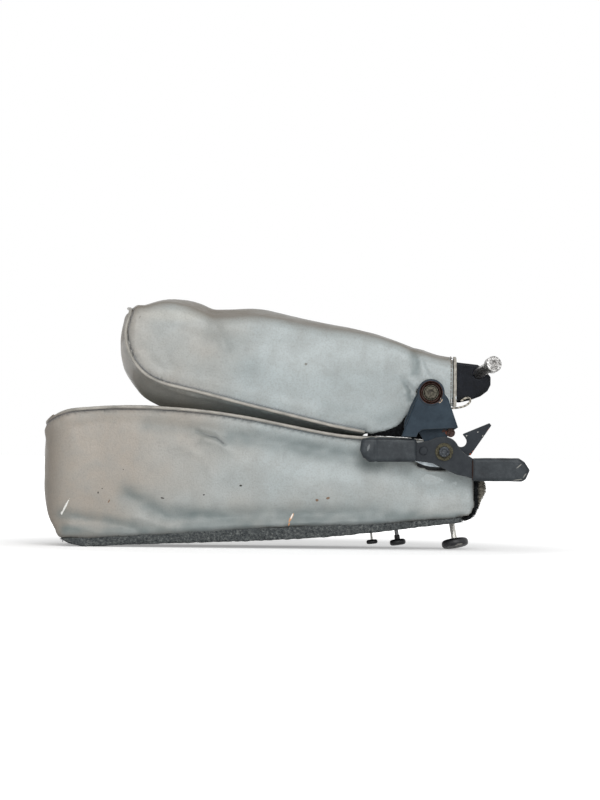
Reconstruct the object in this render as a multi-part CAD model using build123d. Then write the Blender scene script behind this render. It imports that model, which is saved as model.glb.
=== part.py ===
"""A pair of leather armrest pads joined by a folding hinge bracket.

The lower pad stands on its carpeted base and three thumb screws. The upper pad lies upside down on it,
cushion face to cushion face. A pressed steel bracket on the front side swings about the lower pivot,
and the upper pad tilts about the top of the bracket. A two-armed lever and a catch hook share the lower pivot.

Millimetres. +X runs from the noses to the hinge end, +Z is up, and the hardware is on the -Y side.
The origin is on the floor, under the middle of the whole object.
"""

import os
from math import atan2, cos, degrees, hypot, pi, radians, sin, sqrt, tan

from build123d import *

# ---- shared sizes ----
FRONT_Y = -33.0            # front side of both pads, the side that carries the hardware
LEATHER = 2.0              # leather with its backing
FIT = 0.3                  # gap between parts that sit together
RUNNING = 0.06             # radial clearance of a pin that turns in its hole
PIPING_R = 1.3
PIPING_OUT = 1.25          # piping centre outside the corner it is sewn along
PIPING_SIDE = 0.9          # and this much further out to the side
LOWER_PIPING_END = 92.0    # on the front side the lower piping stops at the hinge

# ---- lower pad ----
LOWER_BACK_Y = 52.0        # back side at the nose
LOWER_REAR_Y = 28.0        # back side at the hinge end
LOWER_NOSE_X = -195.0
LOWER_REAR_X = 149.8
LOWER_NOSE_R = 28.0        # corner radius of the nose, seen from above
LOWER_TAPER_X = 35.0       # where the back side starts to close in
LOWER_BULGE = 3.0          # side walls swell by this much
# edge of the cushion face: x, z, and how deep the face has sagged between its piped edges
LOWER_EDGE = [
    (-205, 98.0, 0.4),
    (-166, 108.6, 0.4),
    (-122, 111.0, 2.6),
    (-85, 109.6, 4.0),
    (-35, 103.8, 4.0),
    (15, 94.2, 3.0),
    (52, 88.6, 1.5),
    (90, 87.2, 1.0),
    (128, 81.4, 1.0),
    (160, 61.0, 0.4),
]
# seam between the leather wall and the carpeted base
LOWER_SEAM = [(-181, 7.6), (-130, 9.0), (-50, 15.0), (40, 19.4), (100, 23.2), (141, 27.0)]
LOWER_REAR_CORNER = 9.0    # radius of the leather at its lower rear corner

# ---- carpeted base ----
BASE_HEEL_X = -160.0       # the line that the base stands on
BASE_UNDER = [(-160, 0.0), (-100, 3.0), (-30, 5.8), (50, 11.4), (92, 16.4), (140, 22.4)]
BOARD_THICK = 9.0
CARPET_THICK = 5.0
REAR_CARPET_BULGE = 8.4

# ---- upper pad ----
UPPER_BACK_Y = 51.0
UPPER_COLLAR_Y = 0.4       # back side of the collar at the hinge end
UPPER_BULGE = 3.0
UPPER_TOP_R = 12.0         # rounding where the leather wraps over the top
COLLAR_X = 134.6           # end of the leather collar
# top of the pad: x, z
UPPER_TOP = [(-150, 182.6), (-136, 189.2), (-122, 194.6), (-94, 198.4), (-74, 194.0), (-60, 189.8), (-30, 188.8),
             (20, 182.0), (66, 174.6), (97, 164.8), (120, 156.8), (142, 154.6)]
# piped edge round the nose and along the bottom: x, z, and how far the face crowns out of it
UPPER_EDGE = [
    (-125.5, 190.5, 5.5),
    (-130.6, 172.0, 9.0),
    (-125.0, 151.0, 15.0),
    (-110.0, 135.6, 20.5),
    (-84.0, 127.8, 22.4),
    (-45.0, 118.0, 17.4),
    (0.0, 107.4, 13.7),
    (34.0, 99.2, 10.4),
    (62.0, 93.4, 6.8),
]
# under edge from the end of the cushion face to the collar
UPPER_UNDER = [(78, 93.6), (90, 99.4), (98, 109.2), (106, 114.0), (120, 115.4), (138, 115.6)]
HEM_WIDE = 4.6
# black felt that closes the cover under its corner: its line, how far it stands out, and its depth
FELT_LINE = [(78.5, 93.0), (86.5, 96.4), (92.4, 102.0), (97.4, 108.2), (101.5, 111.4)]
FELT_OUT = (0.5, 3.2)
FELT_DEEP = (-27.0, 14.0)
BINDING_PROUD = 0.25       # the bound edge stands out of the leather

# ---- pivots: x, z ----
LOWER_PIVOT = (125.1, 79.0)
UPPER_PIVOT = (114.0, 126.2)
PIVOT_R = 4.0              # both pivot bolts
BUSH_R = 8.0
SLEEVE_R = 5.8             # sleeve that joins the lever to the hook through the bracket
SOCKET_R = 2.8

# ---- hardware layers, from the pads outwards ----
BUSH_PROUD = 3.8           # pivot bushes stand out of the leather
PLATE_GAP = 0.4
HOOK_THICK = 2.7
WALL_THICK = 2.3           # pressed steel of the bracket
LEVER_THICK = 3.0
GRIP_THICK = 9.4
bush_face = FRONT_Y - BUSH_PROUD
hook_back = bush_face - PLATE_GAP
hook_front = hook_back - HOOK_THICK
rear_wall_back = hook_front - PLATE_GAP
rear_wall_front = rear_wall_back - WALL_THICK
lever_back = rear_wall_front - PLATE_GAP
lever_front = lever_back - LEVER_THICK
grip_back = (lever_back + lever_front + GRIP_THICK) / 2
grip_front = grip_back - GRIP_THICK
front_wall_back = grip_front - PLATE_GAP
front_wall_front = front_wall_back - WALL_THICK

# ---- bracket ----
EYE_R = 10.8               # round top of the bracket
EYE_HOLE_R = 8.7           # opening in the front wall that shows the spring
FOOT_R = 10.0              # rear wall round the lower pivot
FRONT_WALL = [(103.6, 124.5), (90.6, 90.7), (102.8, 90.7), (104.0, 94.0), (107.5, 96.6),
              (135.9, 98.4), (127.8, 121.5), (121.0, 130.0), (107.0, 130.0)]
REAR_WALL = [(103.2, 126.4), (98.0, 115.5), (93.4, 103.8), (92.6, 97.6), (104.5, 94.6), (108.5, 88.0),
             (115.0, 80.0), (125.0, 84.0), (127.6, 91.0), (131.5, 95.6), (135.9, 98.4), (127.8, 121.5), (121.0, 130.0), (107.0, 130.0)]
RIM_LOW_Z = 99.5           # the side webs stop here, above the lever
FOLD_R = 1.5               # outer radius of the fold between front wall and webs
BOSS_RIM = (10.4, 1.0)     # raised rim round the opening: radius and height
STOP_PIN_R = 3.2
STOP_PIN_HEAD = (3.5, 0.8)

# ---- catch hook ----
NOTCH_AT = (138.8, 87.3)
NOTCH_R = 4.3
HOOK_EYE_R = 9.0
HOOK_OUTLINE = [(120.0, 84.0), (134.9, 85.4), (140.6, 93.6), (161.2, 102.3), (162.8, 100.4),
                (149.8, 81.4), (146.6, 76.6), (128.0, 71.0)]
SWING = 40.0               # travel of the bracket, degrees, until the pin lies in the notch

# ---- lever ----
LEVER_EYE_R = 12.1
LEVER_OUTLINE = [(64.0, 73.8), (103.0, 71.4), (115.8, 69.8), (122.2, 66.7), (134.3, 61.2), (150.0, 57.6),
                 (187.0, 58.4), (187.0, 72.0), (150.0, 72.6), (141.3, 78.1), (136.4, 83.0), (128.0, 90.5),
                 (118.8, 90.3), (114.0, 88.2), (103.0, 85.7), (64.0, 86.4)]
FRONT_GRIP = [(57.9, 79.5), (60.6, 73.6), (65.5, 70.2), (103.0, 70.9), (103.0, 89.4), (66.5, 90.2), (59.0, 88.6)]
REAR_GRIP = [(147.4, 74.2), (184.6, 74.6), (189.4, 71.4), (193.8, 65.1), (190.3, 57.8), (187.2, 55.9), (147.4, 55.9)]
GRIP_EDGE_R = 2.8
RIVET_AT = (108.6, 79.6)
RIVET_R = 3.4
SCUTCHEON = (24.6, 15.4, 1.2)      # half width, half height and thickness of the plate inside the leather opening

# ---- pivot bolts ----
LOWER_WASHER = (7.1, 1.2)
LOWER_HEAD = (4.4, 3.2)
UPPER_WASHER = (6.2, 1.4)
UPPER_HEAD = (5.4, 4.2)
SPRING_COIL_R = 7.5
SPRING_WIRE_R = 0.9
SPRING_TURNS = 2.5

# ---- frames inside the pads ----
TUBE_DEEP = 20.0           # along Y
TUBE_HIGH = 24.0
TUBE_WALL = 2.0
PIVOT_PLATE = 3.8
LOWER_TUBE = [(-140, 29.0), (128, 48.4)]           # centre line, x and z
UPPER_TUBE = [(-80, 157.0), (130.5, 134.4)]
LOWER_PLATE = [(92, 38.0), (140, 42.0), (140, 72.0), (125.1, 79.0), (100, 66.0)]
UPPER_PLATE = [(92, 130.0), (112, 118.5), (122, 118.5), (128, 124.0), (128, 142.0), (92, 148.0)]
LOWER_PLATE_EYE_R = 11.5
OPENING_AT = (120.0, 82.0)         # opening in the front wall of the lower pad
OPENING = (26.0, 17.0)
UPPER_PLATE_EYE_R = 8.6

# ---- end fitting and the bolt through it ----
FITTING = [(123.0, 126.2), (132.0, 125.2), (132.0, 118.8), (137.2, 118.4), (145.7, 120.2), (154.4, 123.6),
           (160.0, 127.9), (162.4, 132.7), (162.4, 139.1), (156.6, 146.3), (151.7, 148.9), (132.0, 151.0),
           (132.0, 143.6), (123.0, 144.6)]
FITTING_THICK = 14.0
CROSS_PIN = (126.6, 135.0, 2.0)    # x, z and radius
BOLT_R = 4.0
BOLT_SHOULDER_R = 4.4      # plain shoulder from the head to the back of the fitting
BOLT_HEAD = (6.5, 6.4)
BOLT_SOCKET = (3.0, 3.4)   # hexagon socket: radius and depth
BOLT_HEAD_AT = (162.0, 148.2)
BOLT_ENTRY = (153.0, 142.2)
BOLT_TILT = 25.0           # degrees from the Y axis
BOLT_FREE = 15.0           # thread that stands out behind the fitting

TAB_LOOP = [(127.0, 113.6), (133.0, 113.9), (139.4, 114.9), (144.6, 117.6), (146.2, 120.6), (143.8, 122.4),
            (140.8, 121.2), (138.2, 119.6)]

# ---- thumb screws ----
# x where they leave the base, degrees of lean to +X and to -Y, shank radius, knob radius, height and hub, floor gap
THUMB_SCREWS = {
    "small": (68.2, 6.0, 4.0, 0.9, 4.5, 3.4, 0.0, 3.2),
    "medium": (88.4, 7.6, 5.0, 1.6, 6.4, 4.6, 3.6, 2.2),
    "large": (133.2, 9.6, 9.0, 2.3, 10.7, 6.4, 0.0, 0.0),
}
KNOB_ROUND = 0.42          # edge radius of a knob, as a share of its height
HUB_WALL = 0.6             # black hub of the medium knob round its shank
SCREW_Y = 6.0
SCREW_DEPTH = 9.0          # length of thread inside the insert
INSERT_WALL = 1.6


# ---------------------------------------------------------------- helpers
def at_y(y):
    """Drawing plane seen from the front: local x is X, local y is Z, and an extrusion comes forwards."""
    return Plane(origin=(0, y, 0), x_dir=(1, 0, 0), z_dir=(0, -1, 0))


def station(x):
    """Section plane across the pad: local x is Y and local y is Z."""
    return Plane(origin=(x, 0, 0), x_dir=(0, 1, 0), z_dir=(1, 0, 0))


def plate(face, back, front):
    """A face drawn in X and Z, made a plate between two depths."""
    return extrude(at_y(back) * face, amount=back - front)


def disc(centre, radius, back, front):
    """A round bar along Y."""
    return plate(Pos(*centre) * Circle(radius), back, front)


def ring(centre, outer, inner, back, front):
    return disc(centre, outer, back, front) - disc(centre, inner, back + 1, front - 1)


def outline(*edges):
    """A face inside a chain of edges."""
    return make_face(Wire(list(edges)))


def between(x, table, column=1):
    """Straight-line value from a table of (x, value, ...) rows."""
    rows = sorted(table)
    for (a, b) in zip(rows, rows[1:]):
        if x <= b[0]:
            break
    share = (x - a[0]) / (b[0] - a[0])
    return a[column] + share * (b[column] - a[column])


def sampled(points, count):
    """Evenly spaced points of a smooth curve through the given ones, in X and Z."""
    curve = Spline(*points)
    return [((curve @ (i / (count - 1))).X, (curve @ (i / (count - 1))).Y) for i in range(count)]


def lift(points, dx=0.0, dz=0.0):
    return [(x + dx, z + dz) for x, z in points]


# ---------------------------------------------------------------- lower pad
def lower_back(x):
    """Back side of the lower pad, which closes in towards the hinge end."""
    if x <= LOWER_TAPER_X:
        return LOWER_BACK_Y
    share = (x - LOWER_TAPER_X) / (LOWER_REAR_X - LOWER_TAPER_X)
    return LOWER_BACK_Y - share * share * (LOWER_BACK_Y - LOWER_REAR_Y)


def lower_plan(inset):
    """The pad seen from above, with a rounded nose."""
    nose = LOWER_NOSE_X + inset
    front, back = FRONT_Y - LOWER_BULGE + inset, LOWER_BACK_Y + LOWER_BULGE - inset
    r = LOWER_NOSE_R
    end = LOWER_REAR_X + 30
    k = r * (1 - cos(pi / 4))
    return outline(
        Line((end, front), (nose + r, front)),
        ThreePointArc((nose + r, front), (nose + k, front + k), (nose, front + r)),
        Line((nose, front + r), (nose, back - r)),
        ThreePointArc((nose, back - r), (nose + k, back - k), (nose + r, back)),
        Line((nose + r, back), (end, back)),
        Line((end, back), (end, front)),
    )


def lower_side(inset, open_rear):
    """The leather wall seen from the front, from the seam up past the cushion face."""
    nose = LOWER_NOSE_X + inset
    high = max(row[1] for row in LOWER_EDGE) + 20
    rear = LOWER_REAR_X + (20 if open_rear else 0)
    first, last = LOWER_SEAM[0], LOWER_SEAM[-1]
    start = (first[0] + inset, first[1])
    front_of_nose = [
        Spline(start, (nose + 5.5, 20.0), (nose, 50.0), (nose + 0.2, 80.0), (nose + 3.0, 108.0)),
        Line((nose + 3.0, 108.0), (nose + 3.0, high)), Line((nose + 3.0, high), (rear, high)),
    ]
    if inset:
        return outline(*front_of_nose, Line((rear, high), (rear, -20)), Line((rear, -20), (start[0], -20)),
                       Line((start[0], -20), start))
    corner_z = last[1] + LOWER_REAR_CORNER
    return outline(
        *front_of_nose, Line((rear, high), (rear, corner_z)),
        Spline((rear, corner_z), last, tangents=[(0, -1), (-1, -0.1)]), Spline(*LOWER_SEAM[::-1]),
    )


def lower_walls(inset):
    """Loft of the swelling side walls, taller than the pad."""
    sections = []
    for x, z, _ in LOWER_EDGE:
        low, high = -6.0, z + 6
        front, back = FRONT_Y + inset, lower_back(x) - inset
        swell = LOWER_BULGE * (1.0 if x < LOWER_TAPER_X else 0.35)
        middle = (low + high) / 2
        sections.append(station(x) * outline(
            Line((back, low), (front, low)),
            ThreePointArc((front, low), (front - swell, middle), (front, high)),
            Line((front, high), (back, high)),
            ThreePointArc((back, high), (back + swell, middle), (back, low)),
        ))
    return loft(sections)


def under_face(depth):
    """Everything that lies deeper than `depth` under the sagged cushion face of the lower pad."""
    sections = []
    for x, z, sag in LOWER_EDGE:
        front, back = FRONT_Y, lower_back(x)
        top = z - depth
        sections.append(station(x) * outline(
            Line((front - 12, top), (front, top)),
            ThreePointArc((front, top), ((front + back) / 2, top - sag), (back, top)),
            Line((back, top), (back + 12, top)),
            Line((back + 12, top), (back + 12, -20)),
            Line((back + 12, -20), (front - 12, -20)),
            Line((front - 12, -20), (front - 12, top)),
        ))
    return loft(sections)


def lower_block(inset, open_rear=False):
    plan = extrude(lower_plan(inset), amount=160)
    side = plate(lower_side(inset, open_rear), LOWER_BACK_Y + 30, FRONT_Y - 30)
    return lower_walls(inset) & plan & side




def lower_edge_points():
    """Piping line along the corner of wall and cushion face: rear, front side, nose, back side, rear."""
    out, r = PIPING_OUT, LOWER_NOSE_R
    line = sampled([(x, z + out) for x, z, _ in LOWER_EDGE], 25)
    straight = [(x, z) for x, z in line if LOWER_NOSE_X + r + 6 < x < LOWER_REAR_X]
    back = [(x, lower_back(x) + out + PIPING_SIDE, z) for x, z in straight]
    front = [(x, FRONT_Y - out - PIPING_SIDE, z) for x, z in straight[::-1] if x < LOWER_PIPING_END]
    middle_x = LOWER_NOSE_X + 2.0 + r
    round_nose = []
    for y, turns in ((FRONT_Y - 1.5 + r, (80, 58, 35, 12)), (LOWER_BACK_Y + 1.5 - r, (-12, -35, -58, -80))):
        for turn in turns:
            x = middle_x - (r + out + 0.5) * cos(radians(turn))
            round_nose.append((x, y - (r + out) * sin(radians(turn)), between(x, line) + 0.8))
    return front + round_nose + back


def tube_along(points, radius):
    """Round cord through the points: straight runs joined by arcs as large as the runs allow."""
    bends = []
    for a, p, b in zip(points, points[1:], points[2:]):
        u, v = Vector(*p) - Vector(*a), Vector(*b) - Vector(*p)
        turn = radians(u.get_angle(v))
        bends.append(0.45 * min(u.length, v.length) / tan(turn / 2))
    path = FilletPolyline(*points, radius=bends)
    return sweep(Plane(path @ 0, z_dir=path % 0) * Circle(radius), path=path)


def pivot_opening(centre, wide, high):
    """Cut-out in the front wall that lets the hardware through to the pivot plate."""
    x, z = centre
    hole = Pos(x, z) * Ellipse(wide, high) + Pos(x, z + high) * Rectangle(2 * wide, 2 * high)
    return plate(hole, FRONT_Y + LEATHER + 1.0, FRONT_Y - 12)


# ---------------------------------------------------------------- base of the lower pad
def under_line(lift_by=0.0):
    return [(x, z + lift_by) for x, z in BASE_UNDER]


def board_solid(grow=0.0):
    """Plywood board that follows the bowed underside."""
    low = under_line(CARPET_THICK - grow)
    high = under_line(CARPET_THICK + BOARD_THICK + grow)
    left, right = low[0][0] - 16 - grow, low[-1][0] + 1 + grow
    side = outline(
        Line((left, 7.5 - grow), low[0]), Spline(*low), Line(low[-1], (right, low[-1][1])),
        Line((right, low[-1][1]), (right, high[-1][1])), Line((right, high[-1][1]), high[-1]),
        Spline(*high[::-1]), Line(high[0], (left, 7.5 + BOARD_THICK + grow)),
        Line((left, 7.5 + BOARD_THICK + grow), (left, 7.5 - grow)),
    )
    plan = extrude(lower_plan(LOWER_BULGE + LEATHER + 0.5 - grow), amount=160)
    walls = lower_walls(LEATHER + 0.5 - grow)
    return plate(side, LOWER_BACK_Y + 30, FRONT_Y - 30) & plan & walls


def under_board():
    """Everything below the top of the board, which the foam stands on."""
    high = under_line(CARPET_THICK + BOARD_THICK + 0.1)
    start, end = (-260, 7.5 + BOARD_THICK + 0.1), (260, high[-1][1] + 2.0)
    left = (high[0][0] - 16, start[1])
    return plate(outline(
        Line(start, left), Line(left, high[0]), Spline(*high), Line(high[-1], end), Line(end, (260, -60)),
        Line((260, -60), (-260, -60)), Line((-260, -60), start)), LOWER_BACK_Y + 30, FRONT_Y - 30)


def base_carpet(board):
    low, seam = under_line(), lift(LOWER_SEAM, 0, -0.15)
    side = outline(
        Spline(*low), Line(low[-1], seam[-1]), Spline(*seam[::-1]),
        Spline(seam[0], (-173.0, 2.2), low[0], tangents=[(0.5, -1), (1, 0)]),
    )
    plan = extrude(lower_plan(1.2), amount=160)
    band = plate(side, LOWER_BACK_Y + 30, FRONT_Y - 30) & plan & lower_walls(0.5)
    return band - board


def rear_carpet():
    """Flap of carpet over the open rear end, bulging at the bottom and tucked under the corner."""
    x = LOWER_REAR_X + 0.15
    corner = LOWER_SEAM[-1][1] + LOWER_REAR_CORNER
    side = outline(
        Line((x, 66.0), (x, corner)),
        Spline((x, corner), (148.8, 29.4), (141.3, 26.6)),
        Line((141.3, 26.6), (141.3, 23.4)),
        Spline((141.3, 23.4), (147.6, 25.8), (151.4, 32.0), (154.6, 40.4), (x + REAR_CARPET_BULGE, 49.0),
               (157.6, 53.2), (154.0, 62.0), (x, 66.0)),
    )
    return plate(side, LOWER_REAR_Y - 1.5, FRONT_Y + 1.5)


def bar_along(ends, deep, high, centre_y):
    """Rectangular bar between two points of the XZ plane."""
    (x0, z0), (x1, z1) = ends
    long = hypot(x1 - x0, z1 - z0)
    turn = -degrees(atan2(z1 - z0, x1 - x0))
    return Pos((x0 + x1) / 2, centre_y, (z0 + z1) / 2) * Rot(0, turn, 0) * Box(long, deep, high)


plate_face = FRONT_Y + LEATHER + 0.5
tube_y = plate_face + PIVOT_PLATE + TUBE_DEEP / 2


def pad_frame(tube, side_plate, pivot, eye_r):
    """Steel tube with a welded pivot plate on its front side."""
    shell = bar_along(tube, TUBE_DEEP, TUBE_HIGH, tube_y)
    shell -= bar_along([tube[0], (tube[1][0] + 1, tube[1][1])], TUBE_DEEP - 2 * TUBE_WALL,
                       TUBE_HIGH - 2 * TUBE_WALL, tube_y)
    # the bore runs out of the open end only
    face = make_face(Polyline(*side_plate, close=True)) + Pos(*pivot) * Circle(eye_r)
    plate_solid = plate(face, plate_face + PIVOT_PLATE, plate_face)
    return shell + plate_solid - disc(pivot, BUSH_R + 0.02, plate_face + 30, plate_face - 5)


def frame_room(tube, side_plate, pivot, eye_r, gap):
    """Space that the foam leaves for the frame and the bush."""
    room = bar_along(tube, TUBE_DEEP + 2 * gap, TUBE_HIGH + 2 * gap, tube_y)
    face = make_face(Polyline(*side_plate, close=True)) + Pos(*pivot) * Circle(eye_r)
    room += plate(offset(face, gap), plate_face + PIVOT_PLATE + gap, plate_face - 10)
    return room + disc(pivot, BUSH_R + gap, bush_back + gap, plate_face - 10)


bush_back = plate_face + PIVOT_PLATE + 8.0


def pivot_bush(pivot):
    return ring(pivot, BUSH_R, PIVOT_R + 0.02, bush_back, bush_face)


def lower_scutcheon():
    """Zinc-plated plate on the pivot plate, seen through the opening in the leather."""
    wide, high, thick = SCUTCHEON
    face = Pos(*OPENING_AT) * Ellipse(wide, high)
    face &= Pos(OPENING_AT[0], 71.6) * Rectangle(2 * wide, 16.0)
    return plate(face, plate_face - 0.1, plate_face - 0.1 - thick) - disc(LOWER_PIVOT, BUSH_R + 0.4, 0, -60)


# ---------------------------------------------------------------- upper pad
def upper_back(x):
    if x <= -10:
        return UPPER_BACK_Y
    share = min(1.0, (x + 10) / (COLLAR_X + 10))
    return UPPER_BACK_Y - share ** 1.3 * (UPPER_BACK_Y - UPPER_COLLAR_Y)


def wall_foot(x):
    """Height where the side wall of the upper pad starts to swell, at its lower edge."""
    foot = [(row[0], row[1] - 4) for row in UPPER_EDGE[2:]] + [(100, 100.0), (142, 108.0)]
    return between(max(x, foot[0][0]), foot)


def upper_walls(inset):
    sections = []
    for x, z in UPPER_TOP:
        low, top, r = wall_foot(x), z - 1.2 - inset, UPPER_TOP_R - inset
        front, back = FRONT_Y + inset, upper_back(x) - inset
        swell = UPPER_BULGE if x < 60 else 0.8
        k = r * (1 - cos(pi / 4))
        middle = (low + top - r) / 2
        sections.append(station(x) * outline(
            Line((back, low), (back, 60)), Line((back, 60), (front, 60)), Line((front, 60), (front, low)),
            ThreePointArc((front, low), (front - swell, middle), (front, top - r)),
            ThreePointArc((front, top - r), (front + k, top - k), (front + r, top)),
            ThreePointArc((front + r, top), ((front + back) / 2, top + 1.2), (back - r, top)),
            ThreePointArc((back - r, top), (back - k, top - k), (back, top - r)),
            ThreePointArc((back, top - r), (back + swell, middle), (back, low)),
        ))
    return loft(sections)


def upper_side(inset):
    """Pad seen from the front; the cushion face is cut by `beyond_face`."""
    last_x, last_z, _ = UPPER_EDGE[-1]
    nx, nz = edge_normal(len(UPPER_EDGE) - 1)

    def on_last_plane(z):
        return (last_x + (z - last_z) * nx / nz, z)

    under = [on_last_plane(93.0 + inset)] + lift(UPPER_UNDER, 0, inset)
    end = (180, under[-1][1])
    return outline(
        Spline(*under), Line(under[-1], end), Line(end, (180, 230)), Line((180, 230), (-170, 230)),
        Line((-170, 230), (-170, 60)), Line((-170, 60), on_last_plane(60)), Line(on_last_plane(60), under[0]),
    )


def edge_normal(i):
    """Outward direction from the piped edge of the upper face, in X and Z."""
    a = UPPER_EDGE[max(i - 1, 0)]
    b = UPPER_EDGE[min(i + 1, len(UPPER_EDGE) - 1)]
    tx, tz = b[0] - a[0], b[1] - a[1]
    long = hypot(tx, tz)
    return tz / long, -tx / long


def beyond_face(depth):
    """Everything outside the crowned cushion face of the upper pad, moved in by `depth`."""
    sections = []
    for i, (x, z, crown) in enumerate(UPPER_EDGE):
        nx, nz = edge_normal(i)
        front, back = FRONT_Y, upper_back(x)
        inwards = PIPING_OUT + depth
        here = Plane(origin=(x - nx * inwards, 0, z - nz * inwards), x_dir=(0, 1, 0), z_dir=(nz, 0, -nx))
        sections.append(here * outline(
            Line((front - 12, 0), (front, 0)),
            ThreePointArc((front, 0), ((front + back) / 2, crown), (back, 0)),
            Line((back, 0), (back + 12, 0)), Line((back + 12, 0), (back + 12, 130)),
            Line((back + 12, 130), (front - 12, 130)), Line((front - 12, 130), (front - 12, 0)),
        ))
    return loft(sections)


def upper_block(inset, end_x):
    block = upper_walls(inset) & plate(upper_side(inset), UPPER_BACK_Y + 30, FRONT_Y - 30)
    return block & Pos(end_x - 250, 0, 130) * Box(500, 300, 300)


def upper_edge_points():
    """Piping line: along the bottom, up the nose, over the top and down the back side."""
    out, r = PIPING_OUT, UPPER_TOP_R
    line = sampled([(x, z) for x, z, _ in UPPER_EDGE], 37)
    line = [p for i, p in enumerate(line) if p[1] < 177 and (p[0] < -88 or i % 4 == 0)]
    front = [(x, FRONT_Y - out - PIPING_SIDE, z) for x, z in line[::-1]]
    back = [(x, upper_back(x) + out + PIPING_SIDE, z) for x, z in line]
    x, z, crown = UPPER_EDGE[0]
    low, high = FRONT_Y - 0.5, UPPER_BACK_Y + 0.5
    over = [(x - 3.5, low + 0.6, z - 6.0), (x - 3.4, low + 3.6, z - 1.2), (x - 3.8, low + r - 1.0, z + 1.4),
            (x - 7.2, (low + high) / 2, z + 2.2),
            (x - 3.8, high - r + 1.0, z + 1.4), (x - 3.4, high - 3.6, z - 1.2), (x - 3.5, high - 0.6, z - 6.0)]
    return front + over + back


def collar_binding():
    """Bound edge of the leather round the open end of the collar."""
    x0, x1 = COLLAR_X - HEM_WIDE / 2 + 0.1, COLLAR_X + HEM_WIDE / 2
    section = Pos((x0 + x1) / 2, 0, 130) * Box(x1 - x0, 200, 120)
    return (upper_block(-BINDING_PROUD, 160) & section) - upper_block(LEATHER, 170)


def throat_felt():
    """Strip of felt glued along the under corner of the upper pad."""
    near, far = [], []
    for (ax, az), (bx, bz) in zip(FELT_LINE, FELT_LINE[1:]):
        long = hypot(bx - ax, bz - az)
        nx, nz = (bz - az) / long, -(bx - ax) / long
        for share in (0.0, 0.5):
            x, z = ax + share * (bx - ax), az + share * (bz - az)
            near.append((x + FELT_OUT[0] * nx, z + FELT_OUT[0] * nz))
            far.append((x + FELT_OUT[1] * nx, z + FELT_OUT[1] * nz))
    strip = outline(Spline(*near[1::2]), Line(near[-1], far[-1]), Spline(*far[1::2][::-1]), Line(far[1], near[1]))
    return plate(strip, FELT_DEEP[1], FELT_DEEP[0])


# ---------------------------------------------------------------- end fitting and bolt
def end_fitting(hole):
    y0 = tube_y - FITTING_THICK / 2
    face = make_face(Polyline(*FITTING, close=True))
    solid = plate(face, y0 + FITTING_THICK, y0)
    tip = solid.edges().filter_by(Axis.Y).filter_by(lambda e: e.center().X > 150)
    solid = fillet(tip, 2.0)
    rim = [e for f in (solid.faces().sort_by(Axis.Y)[0], solid.faces().sort_by(Axis.Y)[-1])
           for e in f.edges() if e.center().X > 136]
    x, z, r = CROSS_PIN
    return chamfer(rim, 1.2) - hole - disc((x, z), r + 0.02, y0 + FITTING_THICK + 1, y0 - 1)


def tilted_axis():
    """Axis of the tilted bolt: plane on the front of the fitting, z towards the head."""
    (hx, hz), (ex, ez) = BOLT_HEAD_AT, BOLT_ENTRY
    long = hypot(hx - ex, hz - ez)
    s, c = sin(radians(BOLT_TILT)), cos(radians(BOLT_TILT))
    axis = ((hx - ex) / long * s, -c, (hz - ez) / long * s)
    return Plane(origin=(ex, tube_y - FITTING_THICK / 2, ez), z_dir=axis), long / s


def chair_bolt():
    where, reach = tilted_axis()
    r, high = BOLT_HEAD
    shoulder = bolt_shoulder()
    thread = upwards(BOLT_R, -shoulder - BOLT_FREE, -shoulder)
    thread = chamfer(thread.edges().sort_by(Axis.Z)[:1], 0.8)
    head = upwards(r, reach, reach + high)
    head = fillet(head.edges().sort_by(Axis.Z)[-1:], 1.0)
    socket_r, deep = BOLT_SOCKET
    socket = Pos(0, 0, reach + high - deep) * extrude(RegularPolygon(socket_r, 6), amount=deep + 1)
    return where * (thread + upwards(BOLT_SHOULDER_R, -shoulder, reach) + head - socket)


def bolt_shoulder():
    """How far the plain shoulder reaches behind the front of the fitting, along the bolt."""
    return FITTING_THICK / cos(radians(BOLT_TILT)) + 3.0


def bolt_hole():
    where, _ = tilted_axis()
    return where * Cylinder(BOLT_SHOULDER_R + 0.08, 80)


def pull_tab():
    """Short strap sewn under the collar and folded back on itself in a loop."""
    y0, wide, thick = FRONT_Y + 1.5, 7.0, 1.5
    return plate(offset_line(Spline(*TAB_LOOP), thick), y0 + wide, y0)


def offset_line(path, thick, steps=14):
    """Strip of even thickness along a curve in the drawing plane."""
    left, right = [], []
    for i in range(steps + 1):
        p, t = path @ (i / steps), path % (i / steps)
        n = Vector(-t.Y, t.X, 0) * (thick / 2)
        left.append(p + n)
        right.append(p - n)
    return outline(Spline(*left), Line(left[-1], right[-1]), Spline(*right[::-1]), Line(right[0], left[0]))


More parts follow.
